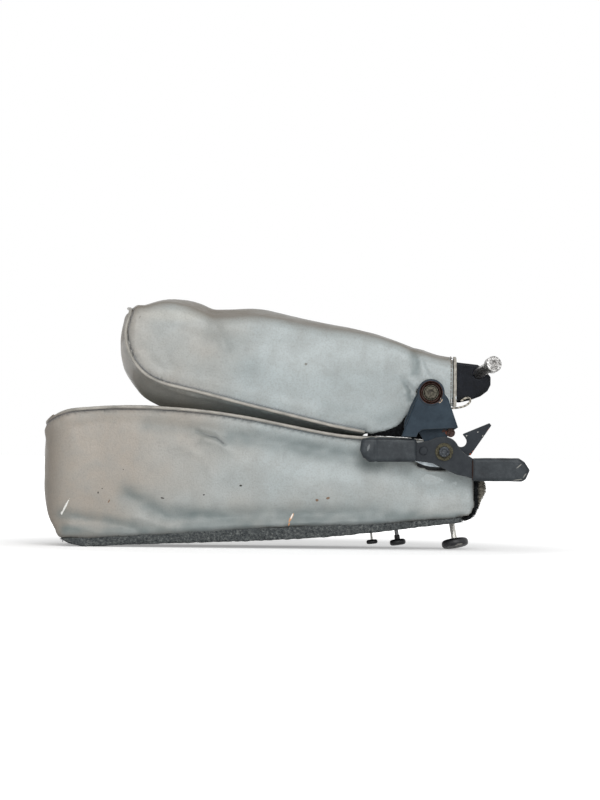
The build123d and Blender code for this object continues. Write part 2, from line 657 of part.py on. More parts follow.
# ---------------------------------------------------------------- bracket
def hinge_bracket():
    eye = Pos(*UPPER_PIVOT) * Circle(EYE_R)
    front_face = make_face(Polyline(*FRONT_WALL, close=True)) + eye
    rear_face = make_face(Polyline(*REAR_WALL, close=True)) + eye + Pos(*LOWER_PIVOT) * Circle(FOOT_R)
    front = plate(front_face, front_wall_back, front_wall_front)
    rear = plate(rear_face, rear_wall_back, rear_wall_front)
    web = plate(front_face - offset(front_face, -WALL_THICK), rear_wall_front, front_wall_back)
    web &= Pos(115, -45, RIM_LOW_Z + 30) * Box(80, 40, 60)
    eye_hole = disc(UPPER_PIVOT, EYE_HOLE_R, rear_wall_front, front_wall_front - 3)
    shell = front + web
    folds = [e for e in shell.edges() if abs(e.center().Y - front_wall_front) < 0.01 and e.center().Z > 98.8
             and e.geom_type == GeomType.LINE]
    shell = fillet(folds, FOLD_R)
    rim_r, rim_high = BOSS_RIM
    rim = disc(UPPER_PIVOT, rim_r, front_wall_front + 0.5, front_wall_front - rim_high)
    shell += fillet(rim.edges().sort_by(Axis.Y)[:1], 0.7)
    solid = (shell - eye_hole) + rear
    solid -= disc(UPPER_PIVOT, PIVOT_R + RUNNING, rear_wall_back + 1, rear_wall_front - 1)
    solid -= disc(LOWER_PIVOT, SLEEVE_R + RUNNING, rear_wall_back + 1, rear_wall_front - 1)
    return solid - disc(pin_at(), STOP_PIN_R + 0.02, rear_wall_back + 1, rear_wall_front - 1)


def pin_at(swing=0.0):
    """Stop pin centre: the notch position turned back by the travel."""
    dx, dz = NOTCH_AT[0] - LOWER_PIVOT[0], NOTCH_AT[1] - LOWER_PIVOT[1]
    turn = radians(SWING - swing)
    return (LOWER_PIVOT[0] + dx * cos(turn) - dz * sin(turn), LOWER_PIVOT[1] + dx * sin(turn) + dz * cos(turn))


def stop_pin():
    head_r, head_high = STOP_PIN_HEAD
    return (disc(pin_at(), STOP_PIN_R, hook_back, rear_wall_front)
            + disc(pin_at(), head_r, rear_wall_front, rear_wall_front - head_high))


def boss_spring():
    """Torsion spring round the upper pivot bolt."""
    pitch = 2 * SPRING_WIRE_R + 0.15
    path = Helix(pitch, pitch * SPRING_TURNS, SPRING_COIL_R)
    wire = sweep(Plane(path @ 0, z_dir=path % 0) * Circle(SPRING_WIRE_R), path=path)
    where = Plane(origin=(UPPER_PIVOT[0], rear_wall_front - SPRING_WIRE_R - 0.1, UPPER_PIVOT[1]),
                  x_dir=(1, 0, 0), z_dir=(0, -1, 0))
    return where * wire


def pivot_bolt(pivot, washer_back, washer, head):
    """Shoulder bolt along Y; the head stands in front of its washer."""
    (_, thick), (head_r, head_high) = washer, head
    head_back = washer_back - thick
    solid = disc(pivot, PIVOT_R, bush_back - 2, head_back)
    top = disc(pivot, head_r, head_back, head_back - head_high)
    top = fillet(top.edges().sort_by(Axis.Y)[:1], 0.8)
    socket = plate(Pos(*pivot) * RegularPolygon(SOCKET_R, 6), head_back - head_high + 2.4, head_back - head_high - 1)
    return solid + top - socket


# ---------------------------------------------------------------- lever and hook
def catch_hook():
    face = make_face(Polyline(*HOOK_OUTLINE, close=True))
    solid = plate(face, hook_back, hook_front)
    solid = fillet(solid.edges().filter_by(Axis.Y).filter_by(lambda e: e.center().X > 139), 0.7)
    solid += disc(LOWER_PIVOT, HOOK_EYE_R, hook_back, hook_front)
    for step in range(0, 31, 5):
        solid -= disc(pin_at(SWING - step), NOTCH_R, hook_back + 1, hook_front - 1)
    return solid - disc(LOWER_PIVOT, SLEEVE_R + 0.02, hook_back + 1, hook_front - 1)


def lever_sleeve():
    return ring(LOWER_PIVOT, SLEEVE_R, PIVOT_R + RUNNING, hook_back, lever_front)


def lever_plate():
    face = make_face(Polyline(*LEVER_OUTLINE, close=True)) + Pos(*LOWER_PIVOT) * Circle(LEVER_EYE_R)
    solid = plate(face, lever_back, lever_front)
    solid -= disc(LOWER_PIVOT, SLEEVE_R + 0.02, lever_back + 1, lever_front - 1)
    return solid - disc(RIVET_AT, RIVET_R - 1.0, lever_back + 1, lever_front - 1)


def grip(points, corner):
    """Thick sleeve pushed over one arm of the lever."""
    solid = plate(make_face(Polyline(*points, close=True)), grip_back, grip_front)
    solid = fillet(solid.edges().filter_by(Axis.Y), corner)
    rim = [e for f in (solid.faces().sort_by(Axis.Y)[0], solid.faces().sort_by(Axis.Y)[-1]) for e in f.edges()]
    solid = fillet(rim, GRIP_EDGE_R)
    arm = offset(make_face(Polyline(*LEVER_OUTLINE, close=True)), 0.1)
    return solid - plate(arm, lever_back + 0.1, lever_front - 0.1)


def lever_rivet():
    head = disc(RIVET_AT, RIVET_R, lever_front, lever_front - 1.4)
    head = fillet(head.edges().sort_by(Axis.Y)[:1], 0.9)
    return head + disc(RIVET_AT, RIVET_R - 1.05, lever_back, lever_front)


# ---------------------------------------------------------------- thumb screws
def screw_plane(name):
    """Plane where the screw leaves the base: z points up into the board."""
    x, lean, tip = THUMB_SCREWS[name][:3]
    s, c = sin(radians(lean)), cos(radians(lean))
    up = (-s * cos(radians(tip)), sin(radians(tip)), c * cos(radians(tip)))
    return Plane(origin=(x, SCREW_Y, between(x, BASE_UNDER)), x_dir=(c, 0, s), z_dir=up)


def upwards(radius, start, stop):
    return Pos(0, 0, start) * Cylinder(radius, stop - start, align=(Align.CENTER, Align.CENTER, Align.MIN))


def knob_bottom(name):
    """Local height of the knob's underside, which sets its gap to the floor."""
    x, lean, tip, _, knob_r, high, _, gap = THUMB_SCREWS[name]
    up = cos(radians(lean)) * cos(radians(tip))
    r = KNOB_ROUND * high
    return (gap - between(x, BASE_UNDER) + (knob_r - r) * sqrt(1 - up * up) + r) / up - r


def screw_knob(name):
    _, _, _, shank_r, knob_r, knob_high, hub, _ = THUMB_SCREWS[name]
    low = knob_bottom(name)
    knob = upwards(knob_r, low, low + knob_high)
    knob = fillet(knob.edges().filter_by(GeomType.CIRCLE), KNOB_ROUND * knob_high)
    if hub:
        knob += upwards(shank_r + HUB_WALL, low + knob_high - 0.5, low + knob_high + hub)
    return screw_plane(name) * (knob - upwards(shank_r + 0.02, low + 1.2, low + knob_high + hub + 1))


def screw_shank(name):
    shank_r = THUMB_SCREWS[name][3]
    return screw_plane(name) * upwards(shank_r, knob_bottom(name) + 1.2, CARPET_THICK + SCREW_DEPTH)


def screw_insert(name):
    shank_r = THUMB_SCREWS[name][3]
    tube = upwards(shank_r + INSERT_WALL, CARPET_THICK - 4, CARPET_THICK + SCREW_DEPTH - 1)
    return screw_plane(name) * (tube - upwards(shank_r + RUNNING, -20, 60))


def screw_hole(name, grow):
    return screw_plane(name) * upwards(THUMB_SCREWS[name][3] + grow, -30, CARPET_THICK + SCREW_DEPTH + 1)


def insert_room(name):
    shank_r = THUMB_SCREWS[name][3]
    return screw_plane(name) * upwards(shank_r + INSERT_WALL + 0.02, CARPET_THICK - 4, 40)


def base_screws():
    """Wood screws that hold the board to the steel tube."""
    solids = []
    for x in (-120, -60, 20, 110):
        low = between(x, BASE_UNDER) + CARPET_THICK + 0.9
        top = between(x, LOWER_TUBE) - TUBE_HIGH / 2 + 1.8
        shank = Pos(x, tube_y, low) * Cylinder(2.1, top - low, align=(Align.CENTER, Align.CENTER, Align.MIN))
        head = Pos(x, tube_y, low) * Cone(4.2, 2.1, 2.2, align=(Align.CENTER, Align.CENTER, Align.MIN))
        solids.append(shank + head)
    return Compound(solids)


# ---------------------------------------------------------------- build
def save(name, shape):
    os.makedirs("parts", exist_ok=True)
    solids = shape.solids()
    export_step(Compound(solids) if len(solids) > 1 else solids[0], f"parts/{name}.step")


def build_lower_pad():
    inserts = {name: screw_insert(name) for name in THUMB_SCREWS}
    rooms = [insert_room(name) for name in THUMB_SCREWS]
    board = board_solid() - rooms
    screws = base_screws()
    carpet = base_carpet(board_solid(0.1)) - rooms - [screw_hole(name, 0.6) for name in THUMB_SCREWS]
    frame = pad_frame(LOWER_TUBE, LOWER_PLATE, LOWER_PIVOT, LOWER_PLATE_EYE_R)
    room = frame_room(LOWER_TUBE, LOWER_PLATE, LOWER_PIVOT, LOWER_PLATE_EYE_R, FIT)

    body = lower_block(0) & under_face(0)
    deeper = under_face(LEATHER)
    opening = pivot_opening(OPENING_AT, *OPENING)
    panel = body - deeper - opening - room
    wall = (body & deeper) - lower_block(LEATHER, True) - opening
    foam = lower_block(LEATHER + 0.15, True) & under_face(LEATHER + 0.15)
    foam &= Pos(LOWER_REAR_X - 0.2 - 200, 0, 100) * Box(400, 300, 300)
    foam = foam - under_board() - room - opening
    foam = max(foam.solids(), key=lambda s: s.volume)
    foam -= rooms + [Pos(s.center().X, tube_y, 0) * Cylinder(4.5, 120) for s in screws.solids()]

    save("lower_face_panel", panel)
    save("lower_side_cover", wall)
    save("lower_piping", tube_along(lower_edge_points(), PIPING_R))
    save("lower_foam", foam)
    save("base_board", board - [Pos(s.center().X, tube_y, 0) * Cylinder(4.25, 120) for s in screws.solids()])
    save("base_carpet", carpet)
    save("rear_carpet", rear_carpet())
    save("base_screws", screws)
    save("lower_frame", frame - [Pos(s.center().X, tube_y, 0) * Cylinder(2.15, 120) for s in screws.solids()])
    save("lower_bush", pivot_bush(LOWER_PIVOT))
    save("lower_scutcheon", lower_scutcheon())
    for name, solid in inserts.items():
        save(f"insert_{name}", solid)


def build_upper_pad():
    beyond, beyond_deep = beyond_face(0), beyond_face(LEATHER)
    block = upper_block(0, COLLAR_X - HEM_WIDE / 2)
    body = block - beyond
    boss_hole = disc(UPPER_PIVOT, BUSH_R + 1.0, FRONT_Y + LEATHER + 1, FRONT_Y - 12)
    panel = body & beyond_deep
    wall = (body - beyond_deep) - upper_block(LEATHER, 170) - boss_hole
    wall = max(wall.solids(), key=lambda s: s.volume)
    room = frame_room(UPPER_TUBE, UPPER_PLATE, UPPER_PIVOT, UPPER_PLATE_EYE_R, FIT)
    foam = upper_block(LEATHER + 0.15, 126.0) - beyond_face(LEATHER + 0.15) - room
    foam = max(foam.solids(), key=lambda s: s.volume)
    fitting = end_fitting(bolt_hole())

    save("upper_face_panel", panel)
    save("upper_side_cover", wall)
    save("upper_piping", tube_along(upper_edge_points(), PIPING_R))
    save("upper_foam", foam)
    x, z, r = CROSS_PIN
    tube_back = tube_y + TUBE_DEEP / 2
    frame = pad_frame(UPPER_TUBE, UPPER_PLATE, UPPER_PIVOT, UPPER_PLATE_EYE_R)
    save("upper_frame", frame - disc((x, z), r + 0.02, tube_back + 5, plate_face - 5))
    save("fitting_pin", disc((x, z), r, tube_back, plate_face))
    save("collar_binding", collar_binding())
    save("upper_bush", pivot_bush(UPPER_PIVOT))
    save("end_fitting", fitting)
    save("chair_bolt", chair_bolt())
    save("pull_tab", pull_tab())
    save("throat_felt", throat_felt())


def build_hardware():
    save("hinge_bracket", hinge_bracket())
    save("stop_pin", stop_pin())
    save("boss_spring", boss_spring())
    save("catch_hook", catch_hook())
    save("lever_sleeve", lever_sleeve())
    save("lever_plate", lever_plate())
    save("front_grip", grip(FRONT_GRIP, 2.4))
    save("rear_grip", grip(REAR_GRIP, 1.2))
    save("lever_rivet", lever_rivet())
    washer_r, thick = LOWER_WASHER
    washer_back = lever_front - FIT
    save("lower_washer", ring(LOWER_PIVOT, washer_r, PIVOT_R + 0.02, washer_back, washer_back - thick))
    save("lower_bolt", pivot_bolt(LOWER_PIVOT, washer_back, LOWER_WASHER, LOWER_HEAD))
    washer_r, thick = UPPER_WASHER
    washer_back = rear_wall_front - FIT
    save("upper_washer", ring(UPPER_PIVOT, washer_r, PIVOT_R + 0.02, washer_back, washer_back - thick))
    save("upper_bolt", pivot_bolt(UPPER_PIVOT, washer_back, UPPER_WASHER, UPPER_HEAD))
    save("upper_spacer", ring(UPPER_PIVOT, BUSH_R, PIVOT_R + 0.02, bush_face - 0.01, rear_wall_back + FIT))
    for name in THUMB_SCREWS:
        save(f"screw_{name}", screw_shank(name))
        save(f"knob_{name}", screw_knob(name))


build_hardware()
build_lower_pad()
build_upper_pad()
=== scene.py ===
"""A pair of grey leather armrest pads, folded face to face and joined by a pressed steel bracket.

Metres, +Z up, hardware on the -Y side. The tables below are in millimetres.
"""

from math import cos, exp, hypot, pi, radians, sin

import bmesh
import bpy
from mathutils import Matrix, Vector, noise
from mathutils.bvhtree import BVHTree
from mathutils.kdtree import KDTree


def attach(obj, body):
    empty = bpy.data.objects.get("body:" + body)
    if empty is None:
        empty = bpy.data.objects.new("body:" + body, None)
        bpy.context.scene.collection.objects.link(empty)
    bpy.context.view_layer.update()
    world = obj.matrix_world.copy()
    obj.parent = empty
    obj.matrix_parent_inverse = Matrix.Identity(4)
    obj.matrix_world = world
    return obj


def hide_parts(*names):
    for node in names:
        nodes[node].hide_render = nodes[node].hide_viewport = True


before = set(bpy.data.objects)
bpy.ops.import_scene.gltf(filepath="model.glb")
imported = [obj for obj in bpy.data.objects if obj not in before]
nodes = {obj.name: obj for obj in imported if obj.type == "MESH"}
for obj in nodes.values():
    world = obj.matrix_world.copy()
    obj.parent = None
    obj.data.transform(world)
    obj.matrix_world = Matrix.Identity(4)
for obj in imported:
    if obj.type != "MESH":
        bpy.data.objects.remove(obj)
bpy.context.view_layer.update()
scene = bpy.context.scene

# ---- Lower pad: a foam block in a sewn cover of grey automotive cowhide ----
# One wall of hide runs round the nose and is sewn to the cushion face over a piped seam. The foam swells it
# between its seams. It sinks in a long dip over the base, and creases where it is pulled to the hinge. The dips,
# the edges where the wall turns away and the seams are darkened with painted shade.

MM = 0.001
FRONT_Y = -33.0


def linear(code):
    """sRGB hex colour as the linear values that a shader wants."""
    parts = [int(code[i:i + 2], 16) / 255 for i in (1, 3, 5)]
    return [c / 12.92 if c <= 0.04045 else ((c + 0.055) / 1.055) ** 2.4 for c in parts] + [1.0]


def plug(tree, node, ins):
    """Sets a node's sockets, each to a value or to a wire from another node's output."""
    for key, value in ins.items():
        if isinstance(value, bpy.types.NodeSocket):
            tree.links.new(value, node.inputs[key])
        else:
            node.inputs[key].default_value = linear(value) if isinstance(value, str) and value[0] == "#" else value


def add(tree, kind, out=0, ins=None, stops=(), **settings):
    """Adds one node with its settings and its sockets, and gives back one of its outputs."""
    node = tree.nodes.new(kind)
    for name, value in settings.items():
        setattr(node, name, value)
    plug(tree, node, ins or {})
    if stops:
        row = node.color_ramp.elements
        while len(row) < len(stops):
            row.new(0.5)
        for element, (position, code) in zip(row, stops):
            element.position, element.color = position, linear(code)
    return node.outputs[out]


def new_material(name):
    """An empty material, its tree, its shader and its object coordinates."""
    made = bpy.data.materials.new(name)
    made.use_nodes = True
    tree = made.node_tree
    shader = next(n for n in tree.nodes if n.type == "BSDF_PRINCIPLED")
    return made, tree, shader, add(tree, "ShaderNodeTexCoord", "Object")


def marks(tree, where, rows, deep=14.0):
    """Mask of small ragged marks: x, z, half length, half width and turn in degrees, on the front side.

    deep is how far each mark reaches into the piece. The noise averages a half, so a mark ends about 1 from its
    middle, in its own half sizes."""
    ragged = add(tree, "ShaderNodeTexNoise", "Fac", {"Vector": where, "Scale": 1 / (0.9 * MM), "Detail": 2.0})
    nearest = 9.0      # farther than any mark reaches
    for x, z, long, wide, turn in rows:
        local = add(tree, "ShaderNodeMapping", 0,
                    {"Vector": where, "Location": (x * MM, FRONT_Y * MM, z * MM), "Rotation": (0, radians(-turn), 0),
                     "Scale": (long * MM, deep * MM, wide * MM)}, vector_type="TEXTURE")
        far = add(tree, "ShaderNodeVectorMath", "Value", {0: local}, operation="LENGTH")
        nearest = add(tree, "ShaderNodeMath", 0, {0: far, 1: nearest}, operation="MINIMUM")
    edge = add(tree, "ShaderNodeMath", 0, {0: nearest, 1: ragged}, operation="ADD")
    return add(tree, "ShaderNodeMapRange", 0, {"Value": edge, "From Min": 1.65, "From Max": 1.35})


def cowhide(name, warm, stains, glare=None):
    """Corrected-grain cowhide under a satin pigment coat: pebbled grain, cloudy handling dirt, a soft broken sheen.

    warm is the X range over which the grey turns pinkish, stains are rows of marks with their colour, and glare
    is the centre and half size of a pale patch of painted sheen, a painted highlight."""
    made, tree, shader, where = new_material(name)
    broad = add(tree, "ShaderNodeTexNoise", "Fac",
                {"Vector": where, "Scale": 1 / (85 * MM), "Detail": 3.0, "Roughness": 0.55})
    cloud = add(tree, "ShaderNodeTexNoise", "Fac",
                {"Vector": where, "Scale": 1 / (17 * MM), "Detail": 5.0, "Roughness": 0.6, "Distortion": 0.3})
    pores = add(tree, "ShaderNodeTexNoise", "Fac", {"Vector": where, "Scale": 1 / (1.3 * MM), "Detail": 3.0})
    grain = add(tree, "ShaderNodeTexVoronoi", "Distance", {"Vector": where, "Scale": 1 / (1.2 * MM)},
                feature="SMOOTH_F1")
    along = add(tree, "ShaderNodeSeparateXYZ", "X", {0: where})
    nose = add(tree, "ShaderNodeMapRange", 0,
               {"Value": along, "From Min": warm[1] * MM, "From Max": warm[0] * MM, "To Min": -0.15, "To Max": 0.95})
    blush = add(tree, "ShaderNodeMath", 0, {0: nose, 1: add(tree, "ShaderNodeMapRange", 0,
                {"Value": broad, "From Min": 0.3, "From Max": 0.7, "To Min": -0.4, "To Max": 0.5})},
                operation="ADD", use_clamp=True)
    colour = add(tree, "ShaderNodeMix", 2, {0: blush, 6: "#AEB7B8", 7: "#A9A197"}, data_type="RGBA")
    dull = add(tree, "ShaderNodeMapRange", 0, {"Value": cloud, "From Min": 0.42, "From Max": 0.72, "To Max": 0.5})
    colour = add(tree, "ShaderNodeMix", 2, {0: dull, 6: colour, 7: "#979A98"}, data_type="RGBA")
    # the glare is a painted highlight: a soft pale patch of painted sheen
    if glare:
        local = add(tree, "ShaderNodeMapping", 0, {"Vector": where, "Location": [c * MM for c in glare[:3]],
                                                   "Scale": [c * MM for c in glare[3:]]}, vector_type="TEXTURE")
        far = add(tree, "ShaderNodeVectorMath", "Value", {0: local}, operation="LENGTH")
        patch = add(tree, "ShaderNodeMapRange", 0, {"Value": far, "From Min": 1.3, "From Max": 0.3, "To Max": 0.3},
                    interpolation_type="SMOOTHSTEP")
        colour = add(tree, "ShaderNodeMix", 2, {0: patch, 6: colour, 7: "#CBC7BB"}, data_type="RGBA")
    speck = add(tree, "ShaderNodeMapRange", 0, {"Value": pores, "From Min": 0.45, "From Max": 0.75, "To Max": 0.35})
    colour = add(tree, "ShaderNodeMix", 2, {0: speck, 6: colour, 7: "#83817C"}, data_type="RGBA")
    # painted shade from the hide's masks: bluish grey in its dips, brown where it turns away, near black at seams
    for mask, strength, shade in (("painted_hollow_shade", 0.9, "#697677"), ("painted_rim_shade", 0.85, "#6A5F50"), ("painted_crease_shade", 0.95, "#33383F")):
        painted = add(tree, "ShaderNodeAttribute", "Fac", attribute_name=mask)
        share = add(tree, "ShaderNodeMath", 0, {0: painted, 1: strength}, operation="MULTIPLY", use_clamp=True)
        colour = add(tree, "ShaderNodeMix", 2, {0: share, 6: colour, 7: shade}, data_type="RGBA")
    for shade, rows in stains:
        colour = add(tree, "ShaderNodeMix", 2, {0: marks(tree, where, rows), 6: colour, 7: shade}, data_type="RGBA")
    rough = add(tree, "ShaderNodeMapRange", 0, {"Value": cloud, "From Min": 0.3, "From Max": 0.7,
                                                "To Min": 0.36, "To Max": 0.52})
    soft = add(tree, "ShaderNodeBump", 0, {"Height": cloud, "Distance": 1.2 * MM, "Strength": 0.45})
    fine = add(tree, "ShaderNodeBump", 0, {"Height": grain, "Distance": 0.16 * MM, "Strength": 0.6, "Normal": soft})
    plug(tree, shader, {"Base Color": colour, "Roughness": rough, "Specular IOR Level": 0.42, "Normal": fine})
    return made


def mesh_object(name, mesh):
    """A new object with this mesh, in the scene."""
    made = bpy.data.objects.new(name, mesh)
    scene.collection.objects.link(made)
    return made


def apply_modifiers(made):
    """Turns the evaluated shape into the object's own mesh."""
    graph = bpy.context.evaluated_depsgraph_get()
    mesh = bpy.data.meshes.new_from_object(made.evaluated_get(graph), depsgraph=graph)
    made.modifiers.clear()
    old, made.data = made.data, mesh
    bpy.data.meshes.remove(old)


def skin_of(name, sources, voxel, relax=0):
    """One closed skin round the outside of some CAD solids, in voxels of the given size."""
    joined = bmesh.new()
    for source in sources:
        joined.from_mesh(nodes[source].data)
    mesh = bpy.data.meshes.new(name)
    joined.to_mesh(mesh)
    joined.free()
    made = mesh_object(name, mesh)
    skin = made.modifiers.new("Skin", "REMESH")
    skin.mode, skin.voxel_size = "VOXEL", voxel * MM
    if relax:
        ease = made.modifiers.new("Ease", "SMOOTH")
        ease.iterations, ease.factor = relax, 0.5
    apply_modifiers(made)
    made.data.polygons.foreach_set("use_smooth", [True] * len(made.data.polygons))
    return made


def tree_of(*names):
    """Nearest-point search over some CAD solids."""
    joined = bmesh.new()
    for name in names:
        joined.from_mesh(nodes[name].data)
    made = BVHTree.FromBMesh(joined)
    joined.free()
    return made


def bell(value, width):
    """1 at nought, falling softly to about a third at `width`."""
    return exp(-(value / width) ** 2)


def moved(made, shift):
    """Moves each point by shift(p, n), a vector in mm, worked out for all of them first."""
    shifts = [shift(v.co / MM, v.normal.copy()) for v in made.data.vertices]
    for v, by in zip(made.data.vertices, shifts):
        v.co += by * MM


def roughened(made, height, size):
    """Uneven surface: bumps of the given height, about `size` mm apart."""
    moved(made, lambda p, n: n * height * noise.noise(p / size))


def surface_of(made):
    """Nearest-point search over a finished piece."""
    return BVHTree.FromPolygons([v.co for v in made.data.vertices], [list(f.vertices) for f in made.data.polygons])


def close_to(tree, p, reach):
    """Whether a point is within `reach` mm of a searched piece."""
    return tree.find_nearest(p * MM)[3] < reach * MM


def off_line(p, line):
    """Distance in X and Z from a point to a drawn line, and the share of the line passed there."""
    nearest, passed = 1e9, 0.0
    for i, ((ax, az), (bx, bz)) in enumerate(zip(line, line[1:])):
        dx, dz = bx - ax, bz - az
        share = min(1.0, max(0.0, ((p.x - ax) * dx + (p.z - az) * dz) / (dx * dx + dz * dz)))
        away = hypot(p.x - ax - share * dx, p.z - az - share * dz)
        if away < nearest:
            nearest, passed = away, (i + share) / (len(line) - 1)
    return nearest, passed


# the stuffing's mesh size, how many frames it swells for, and how many of its points move one of the cover
STUFFING, MOMENTS, NEIGHBOURS = 5.0, 20, 5


def stuffed(made, sources, held, start_in, limit):
    """Swells a cover by a cloth simulation of the foam that presses on it.

    A coarse skin starts `start_in` mm inside the cover, is held where held(p) is true, and swells under pressure.
    Each point of the cover then moves as the skin near it did, by `limit` mm at most."""
    skin = skin_of("stuffing", sources, STUFFING, relax=2)
    starts = [v.co.copy() for v in skin.data.vertices]
    sewn = skin.vertex_groups.new(name="sewn")
    for v in skin.data.vertices:
        fixed = held(v.co / MM)
        sewn.add([v.index], 1.0 if fixed else 0.0, "REPLACE")
        if not fixed:
            v.co -= v.normal * start_in * MM
    cloth = skin.modifiers.new("Cloth", "CLOTH")
    cloth.settings.quality, cloth.settings.mass = 6, 0.3
    cloth.settings.use_pressure, cloth.settings.uniform_pressure_force = True, 4.0
    cloth.settings.vertex_group_mass = "sewn"
    cloth.settings.effector_weights.gravity = 0.0
    cloth.point_cache.frame_start, cloth.point_cache.frame_end = 1, MOMENTS
    for moment in range(1, MOMENTS + 1):
        scene.frame_set(moment)
    swollen = skin.evaluated_get(bpy.context.evaluated_depsgraph_get()).to_mesh()
    finder = KDTree(len(starts))
    for i, co in enumerate(starts):
        finder.insert(co, i)
    finder.balance()
    moves = []
    for v, co in zip(swollen.vertices, starts):
        move = v.co - co
        moves.append(move * min(1.0, limit * MM / max(move.length, 1e-9)))
    for v in made.data.vertices:
        near = finder.find_n(v.co, NEIGHBOURS)
        weights = [1 / (far + 1 * MM) for _, _, far in near]
        v.co += sum((moves[i] * w for (_, i, _), w in zip(near, weights)), Vector()) / sum(weights)
    scene.frame_set(1)
    bpy.data.objects.remove(skin)


def refine(made, near):
    """Cuts the mesh finer where near(p) is true, for seams and sharp creases."""
    fine = bmesh.new()
    fine.from_mesh(made.data)
    chosen = {v for v in fine.verts if near(v.co / MM)}
    edges = [e for e in fine.edges if e.verts[0] in chosen and e.verts[1] in chosen]
    bmesh.ops.subdivide_edges(fine, edges=edges, cuts=1, use_grid_fill=True)
    fine.to_mesh(made.data)
    fine.free()
    made.data.polygons.foreach_set("use_smooth", [True] * len(made.data.polygons))


def sculpt(made, move, masks):
    """Moves each point by move(p, n), a vector in mm, and paints masks(p, n).

    The masks, from 0 to 1, are painted shade: in the hide's dips, where it turns away, and at its seams."""
    mesh = made.data
    layers = [mesh.attributes.new(name, "FLOAT", "POINT") for name in ("painted_hollow_shade", "painted_rim_shade", "painted_crease_shade")]
    places = [(v.co / MM, v.normal.copy()) for v in mesh.vertices]
    for v, (p, n) in zip(mesh.vertices, places):
        v.co = (p + move(p, n)) * MM
        for layer, value in zip(layers, masks(p, n)):
            layer.data[v.index].value = value
    mesh.update()


def front_share(p, n):
    """1 on the wall that faces forwards, 0 round the corner."""
    return max(0.0, -n.y) if p.y < 0 else 0.0


def to_cord(p, n, cord, grip):
    """The hide is pulled up to its piping: a move towards the cord close by, a stitched dip beside it."""
    spot, _, _, far = cord.find_nearest(p * MM)
    if far > 12 * MM:
        return Vector()
    far /= MM
    pull = (spot / MM - p) * (0.96 if far < grip else 0.96 * bell(far - grip, 0.9))
    return pull + n * (0.5 * bell(far - 7.0, 3.2) - 0.7 * bell(far - grip - 0.5, 0.7))


# soft folds in the lower wall: their line in X and Z, half width and height
LOWER_FOLDS = [
    ([(-112, 98.5), (-78, 94.5), (-22, 88), (34, 78), (70, 70)], 6.0, -1.5),
    ([(-73, 93.4), (-62, 89.6), (-57, 88.4), (-50.5, 83)], 1.5, -0.8),
    ([(-70, 95.6), (-58, 92.6), (-50, 87.4)], 1.6, 0.7),
    ([(-66, 87), (-56, 84.6), (-48, 79)], 3.4, 0.9),
    ([(-128, 42.4), (-106, 31), (-97, 26.7), (-52, 24.8), (-21, 28), (35, 29.5), (66, 32)], 6.0, -2.1),
    ([(-179, 26.5), (-144, 20.6), (-120, 14.4)], 4.2, -1.7),
    ([(-121, 24), (-97, 17)], 3.4, 1.1),
    ([(-176, 18), (-150, 11)], 3.0, 0.9),
    ([(88, 30), (112, 32.5), (146, 40)], 3.6, 1.0),
    ([(-84, 80), (-66, 71), (-60, 55)], 2.6, 0.45),
    ([(60, 66), (100, 58), (146, 52)], 6.0, -1.0),
    ([(100, 66), (140, 52), (148, 50)], 3.0, -0.7),
    ([(-40, 62), (20, 54), (70, 50)], 13.0, 0.8),
]
# hollows that the light leaves darker: their line, half width and strength
LOWER_HOLLOWS = [
    ([(-112, 97), (-78, 94), (-52, 91)], 5.0, 0.4), ([(-46, 88), (-22, 86.5), (34, 77), (74, 67)], 7.5, 0.9),
    ([(-73, 93.4), (-62, 89.6), (-57, 88.4), (-50.5, 83)], 3.6, 0.55), ([(-70, 84), (-50, 78)], 6.0, 0.3),
    ([(-128, 42.4), (-106, 31), (-97, 26.7), (-52, 24.8), (-21, 26), (35, 27), (80, 27)], 6.8, 0.9),
    ([(-180, 26), (-144, 20.6), (-120, 15)], 4.8, 0.75), ([(-176, 13), (-130, 13), (-90, 12)], 6.0, 0.85),
    ([(-80, 15), (-30, 18), (40, 23), (100, 27)], 9.0, 0.9), ([(86, 25), (140, 28)], 3.4, 0.85),
    ([(60, 68), (104, 62), (146, 52)], 7.0, 0.35), ([(74, 66), (100, 64)], 5.0, 0.45),
]
# the sharp fold by the upper dip: the mesh is cut finer along it and painted shade darkens its line
LOWER_CREASE = [(-70, 92.4), (-62, 89.5), (-57, 88.5), (-51.2, 83.8)]
# where the hide is held hard to the hinge: x, z and radius, and the x past which it is glued to the rear flap
LOWER_BOSS, REAR_END = (122, 80, 32), 142
# the cord's mesh size, and the height and spacing of the puckers that its seam leaves on it
CORD_VOXEL, PUCKER, PUCKER_SIZE = 0.6, 0.1, 2.4


def lower_nose_drop(p, n):
    """The cord turns down and in round the nose."""
    past = max(0.0, (-174 - p.x) / 22)
    return Vector((1.6, 0, -6.0)) * past ** 2 + n * PUCKER * noise.noise(p / PUCKER_SIZE)


# the cord comes first, because the hide is pulled up to it; its finish is in the piping's own section
lower_cord = skin_of("lower_cord", ["lower_piping"], CORD_VOXEL, relax=2)
moved(lower_cord, lower_nose_drop)
lower_cord_tree = surface_of(lower_cord)
base_tree = tree_of("base_carpet", "rear_carpet")


def lower_held(p):
    """Where the cover can't swell: at its seam, its glued foot, its hinge and its rear end."""
    x, z, radius = LOWER_BOSS
    return (close_to(lower_cord_tree, p, 7) or close_to(base_tree, p, 6) or p.x > REAR_END
            or (p.y < -20 and hypot(p.x - x, p.z - z) < radius))


